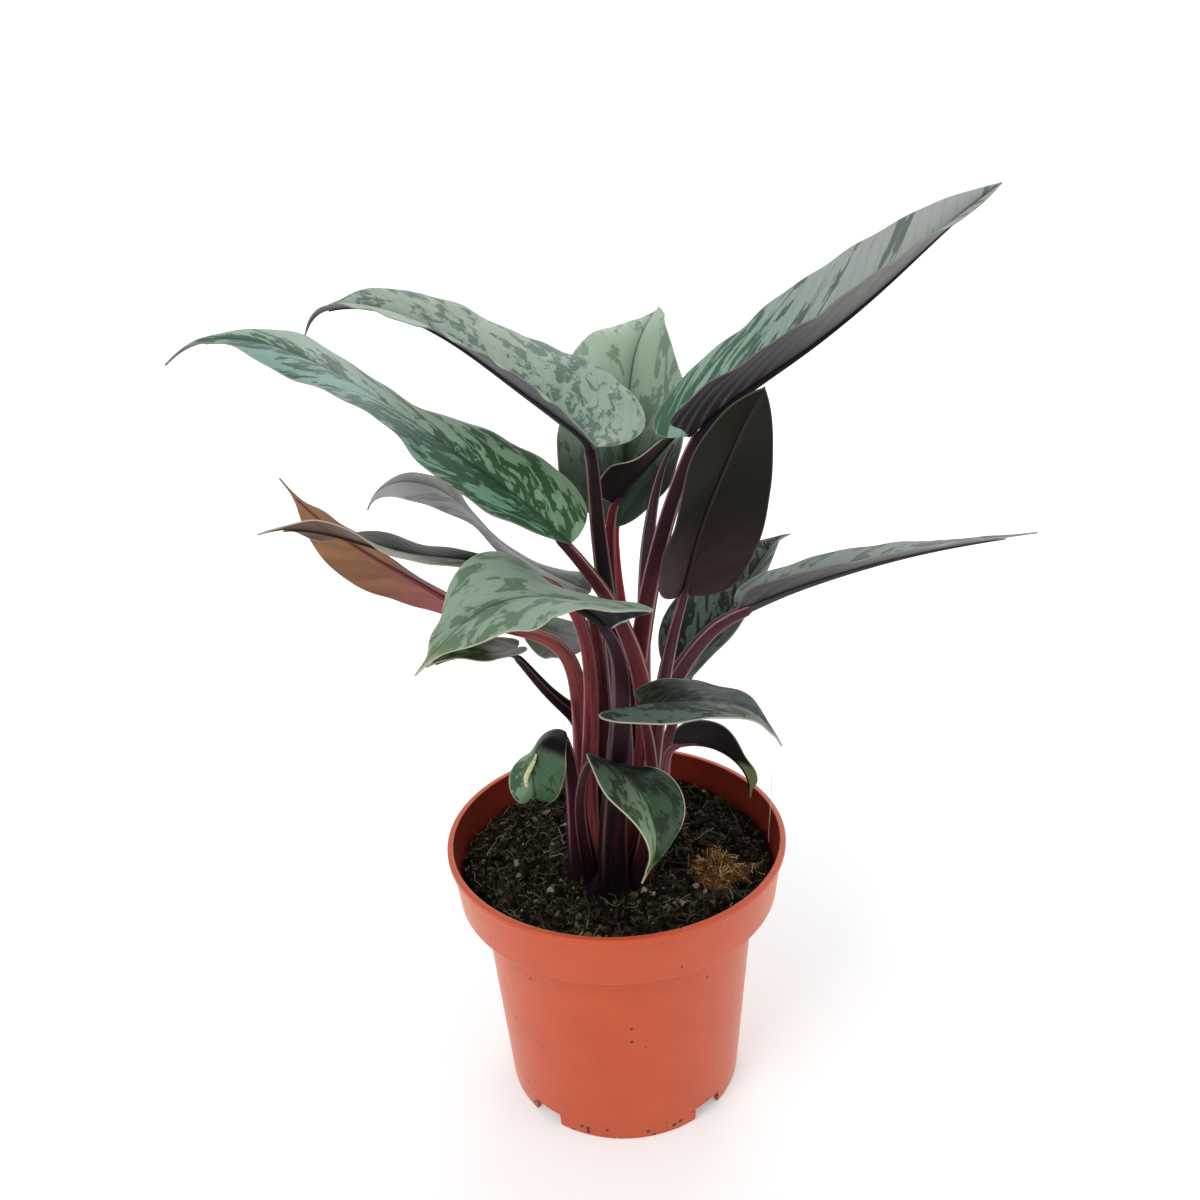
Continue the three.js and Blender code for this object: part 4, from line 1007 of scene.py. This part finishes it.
def rod_object(name, line, radii, facing, finish, colours, seed, neck=-1):
    """A ridged rod along a line. facing is the direction that its two ridges lie either side of.
    The colours are those at the foot, half way up, at the neck and under the blade, and neck is
    the point of the line where the blade starts."""
    ahead = np.gradient(line, axis=0)
    ahead /= np.linalg.norm(ahead, axis=1)[:, None]
    side = np.array(facing, float)
    sides, others = [], []
    for direction in ahead:
        side = side - direction * (side @ direction)
        side = side / np.linalg.norm(side)
        sides.append(side)
        others.append(np.cross(direction, side))
    sides, others = np.array(sides), np.array(others)
    turn = np.linspace(-np.pi, np.pi, stalk_sides, endpoint=False)
    ridges = sum(np.exp(-((turn - place) / ridge_width) ** 2) for place in (-ridge_spread, ridge_spread))
    hollow = np.exp(-(turn / 0.5) ** 2)
    profile = 1 + 0.15 * ridges - 0.10 * hollow
    ring = np.cos(turn)[None, :, None] * sides[:, None] + np.sin(turn)[None, :, None] * others[:, None]
    points = line[:, None] + ring * (radii[:, None] * profile[None, :])[..., None]
    rings, count = points.shape[:2]
    grid = np.arange(rings * count).reshape(rings, count)
    after = np.roll(grid, -1, 1)
    faces = np.stack([grid[:-1], after[:-1], after[1:], grid[1:]], -1).reshape(-1, 4).tolist()
    faces.append(grid[0, ::-1].tolist())
    faces.append(grid[-1].tolist())
    made = mesh_object(name, points.reshape(-1, 3) * MM, faces, [finish])
    walked = np.concatenate([[0], np.cumsum(np.linalg.norm(np.diff(line, axis=0), axis=1))])
    length = walked[neck]
    # How far along the rod each tone holds. The ridges' painted highlight is stronger on a bright stalk than
    # on a dark one.
    marks = [0, 18, max(44, length * 0.37), max(60, length * 0.8), length - 1, length + 4, 1000]
    foot, middle, high, rib = (seen(*colour) for colour in colours)
    tones = np.array([foot, foot, middle, high, high, rib, rib])
    colour = np.stack([np.interp(walked, marks, tones[:, k]) for k in range(3)], 1)
    ridge_highlight_strength = min(1, colours[1][0] / 105)
    on_rib = (walked > length)[:, None] * 1.0
    place = np.stack(np.broadcast_arrays(walked[:, None], turn[None, :], seed), -1)
    add_fields(made, {
        "stalk_place": place,
        "stalk_ridge": np.stack(np.broadcast_arrays(ridges[None, :], on_rib, ridge_highlight_strength), -1),
        "stalk_colour": np.broadcast_to(colour[:, None], place.shape),
    })
    return made


stalk_skin = Finish("Stalk skin", 0.5, 0.09)
walk, turn, seed = stalk_skin.parts("stalk_place")
ridge, on_rib, ridge_highlight_strength = stalk_skin.parts("stalk_ridge")
streaks = stalk_skin.drawn(walk * 0.035, turn * 1.9, seed * 4.1, 4, 0.6)
flecks = stalk_skin.drawn(walk * 0.5, turn * 3.0, seed * 2.3, 3)
streak_mask = stalk_skin.step(streaks, 0.44, 0.66) * (0.7 - on_rib * 0.5)
foot_shade = 1 - stalk_skin.step(walk, 4, 34)
# Painted highlights on the ridges, a soft rosy glow and a crisp pale line, faded out near the foot, on the
# midrib and on dark stalks.
above_foot = (1 - on_rib) * stalk_skin.step(walk, 14, 50) * ridge_highlight_strength
ridge_highlight_glow = stalk_skin.step(ridge, 0.10, 0.9) * above_foot
pale_ridge_highlight = stalk_skin.step(ridge, 0.52, 0.86) * above_foot
stalk_colour = stalk_skin.mix(streak_mask, stalk_skin.field("stalk_colour"), (0.030, 0.007, 0.012))
stalk_colour = stalk_skin.mix(stalk_skin.step(flecks, 0.58, 0.70) * 0.25, stalk_colour, (0.02, 0.006, 0.010))
stalk_colour = stalk_skin.mix(foot_shade * 0.82, stalk_colour, (0.008, 0.004, 0.005))
stalk_colour = stalk_skin.mix(ridge_highlight_glow * 0.40, stalk_colour, (0.40, 0.12, 0.12))
pale_ridge_highlight_colour = stalk_skin.mix(0.55, stalk_colour, (0.80, 0.54, 0.52))
stalk_colour = stalk_skin.mix(pale_ridge_highlight * 0.68, stalk_colour, pale_ridge_highlight_colour)
stalk_skin.paint({"Base Color": stalk_colour, "Roughness": 0.34 + streaks * 0.16})
stalk_skin.bump(streaks + flecks * 0.4, 0.00025, 0.4)

for number, (name, leaf) in enumerate(leaf_rows.items()):
    foot_size, neck_size = leaf["stalk"]
    neck = rib_line(leaf, np.array([0.02]), np.array([neck_size]))[0]
    rise = bezier(((*leaf["foot"], foot_height), *leaf["bends"], neck), rise_steps)
    rib_taper = np.linspace(0, 1, rib_steps) ** 0.8
    rib_size = neck_size * 0.8 + (rib_tip_size - neck_size * 0.8) * rib_taper
    rib = rib_line(leaf, np.linspace(0.03, rib_end, rib_steps), rib_size)
    line = rounded_line(np.concatenate([[(*leaf["foot"], clump_floor)], rise, rib]), rise_steps)
    t = np.linspace(0, 1, rise_steps)
    rise_size = foot_size * 1.4 * (1 - t) + neck_size * 1.25 * t + leaf["sheath"] * (1 - t) ** 0.9
    radii = np.concatenate([[rise_size[0]], rise_size, rib_size])
    facing = (0.25 * math.sin(number * 2.4), -1, 0.2)
    # A stalk's colours hold painted shade, darkest at the foot in the clump and under the leaves.
    colours = (*leaf["stalk_colours_and_shade"], tuple(c * 0.8 for c in leaf["under"][0]))
    stalk = rod_object("Stalk_" + name, line, radii, facing, stalk_skin, colours,
                       seed=number * 1.3 + 0.5, neck=rise_steps)
    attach(stalk, "root")
    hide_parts("stalk_" + name)

# The newest leaf, still rolled up: a slim spear beside the tall right stalk, wine red at the foot
# and grey purple above. One rod that tapers at its tip and shares the stalks' skin and ridges.
spear_foot, spear_bends, spear_tip = (12, -11.5), ((12, 0, 126), (8, 7, 219)), (23, -4, 243)
spear_foot_size, spear_high_size, spear_tip_size, spear_steps = 2.4, 2.3, 0.2, 90
spear_colours = ((84, 44, 48), (92, 50, 54), (62, 54, 60), (62, 54, 60))

rise = bezier(((*spear_foot, foot_height), *spear_bends, spear_tip), spear_steps)
line = np.concatenate([[(*spear_foot, clump_floor)], rise])
t = np.linspace(0, 1, spear_steps)
taper = np.minimum(1, (1 - t) / 0.3) ** 0.8
spear_size = (spear_foot_size * (1 - t) + spear_high_size * t) * taper + spear_tip_size * (1 - taper)
radii = np.concatenate([[spear_foot_size], spear_size])
spear = rod_object("Stalk_new_spear", line, radii, (0, -1, 0), stalk_skin, spear_colours, seed=31.0)
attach(spear, "root")
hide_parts("stalk_new_spear")

# The rolled tip of the curled leaf, pale yellow where it died back, and one loose white fibre that
# stands between the soil and the pot's wall. Both are thin tapered rods.
rolled_path = ((-24.4, -26.3, 149.0), (-25.4, -27.6, 144.5), (-29.6, -27.6, 142.0), (-27.8, -28.0, 138.0))
rolled_colours = ((196, 196, 150), (206, 200, 128), (150, 128, 52), (150, 128, 52))
thread_path = ((55.2, 3.0, 91.0), (55.0, 3.5, 101.0), (56.6, 3.0, 112.0), (55.4, 3.0, 122.0))
thread_colours = ((220, 214, 190), (230, 226, 210), (236, 236, 230), (236, 236, 230))

pale_skin = Finish("Pale rolled tip", 0.6, 0.2)
pale_streaks = pale_skin.drawn(pale_skin.parts("stalk_place")[0] * 0.8, 0, 0, 3, 0.55)
pale_mask = pale_skin.step(pale_streaks, 0.45, 0.7) * 0.5
pale_colour = pale_skin.mix(pale_mask, pale_skin.field("stalk_colour"), (0.16, 0.12, 0.03))
pale_skin.paint({"Base Color": pale_colour})
pale_skin.bump(pale_streaks, 0.0002, 0.5)

rolled_size = 0.2 + 0.62 * np.sin(np.linspace(0.15, 2.6, 24))
rolled = rod_object("Curled_tip", bezier(rolled_path, 24), rolled_size, (0, -1, 0), pale_skin,
                    rolled_colours, seed=5.0)
thread = rod_object("Loose_fibre", bezier(thread_path, 30), np.linspace(0.13, 0.07, 30), (0, -1, 0),
                    pale_skin, thread_colours, seed=6.0)
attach(rolled, "root")
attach(thread, "root")
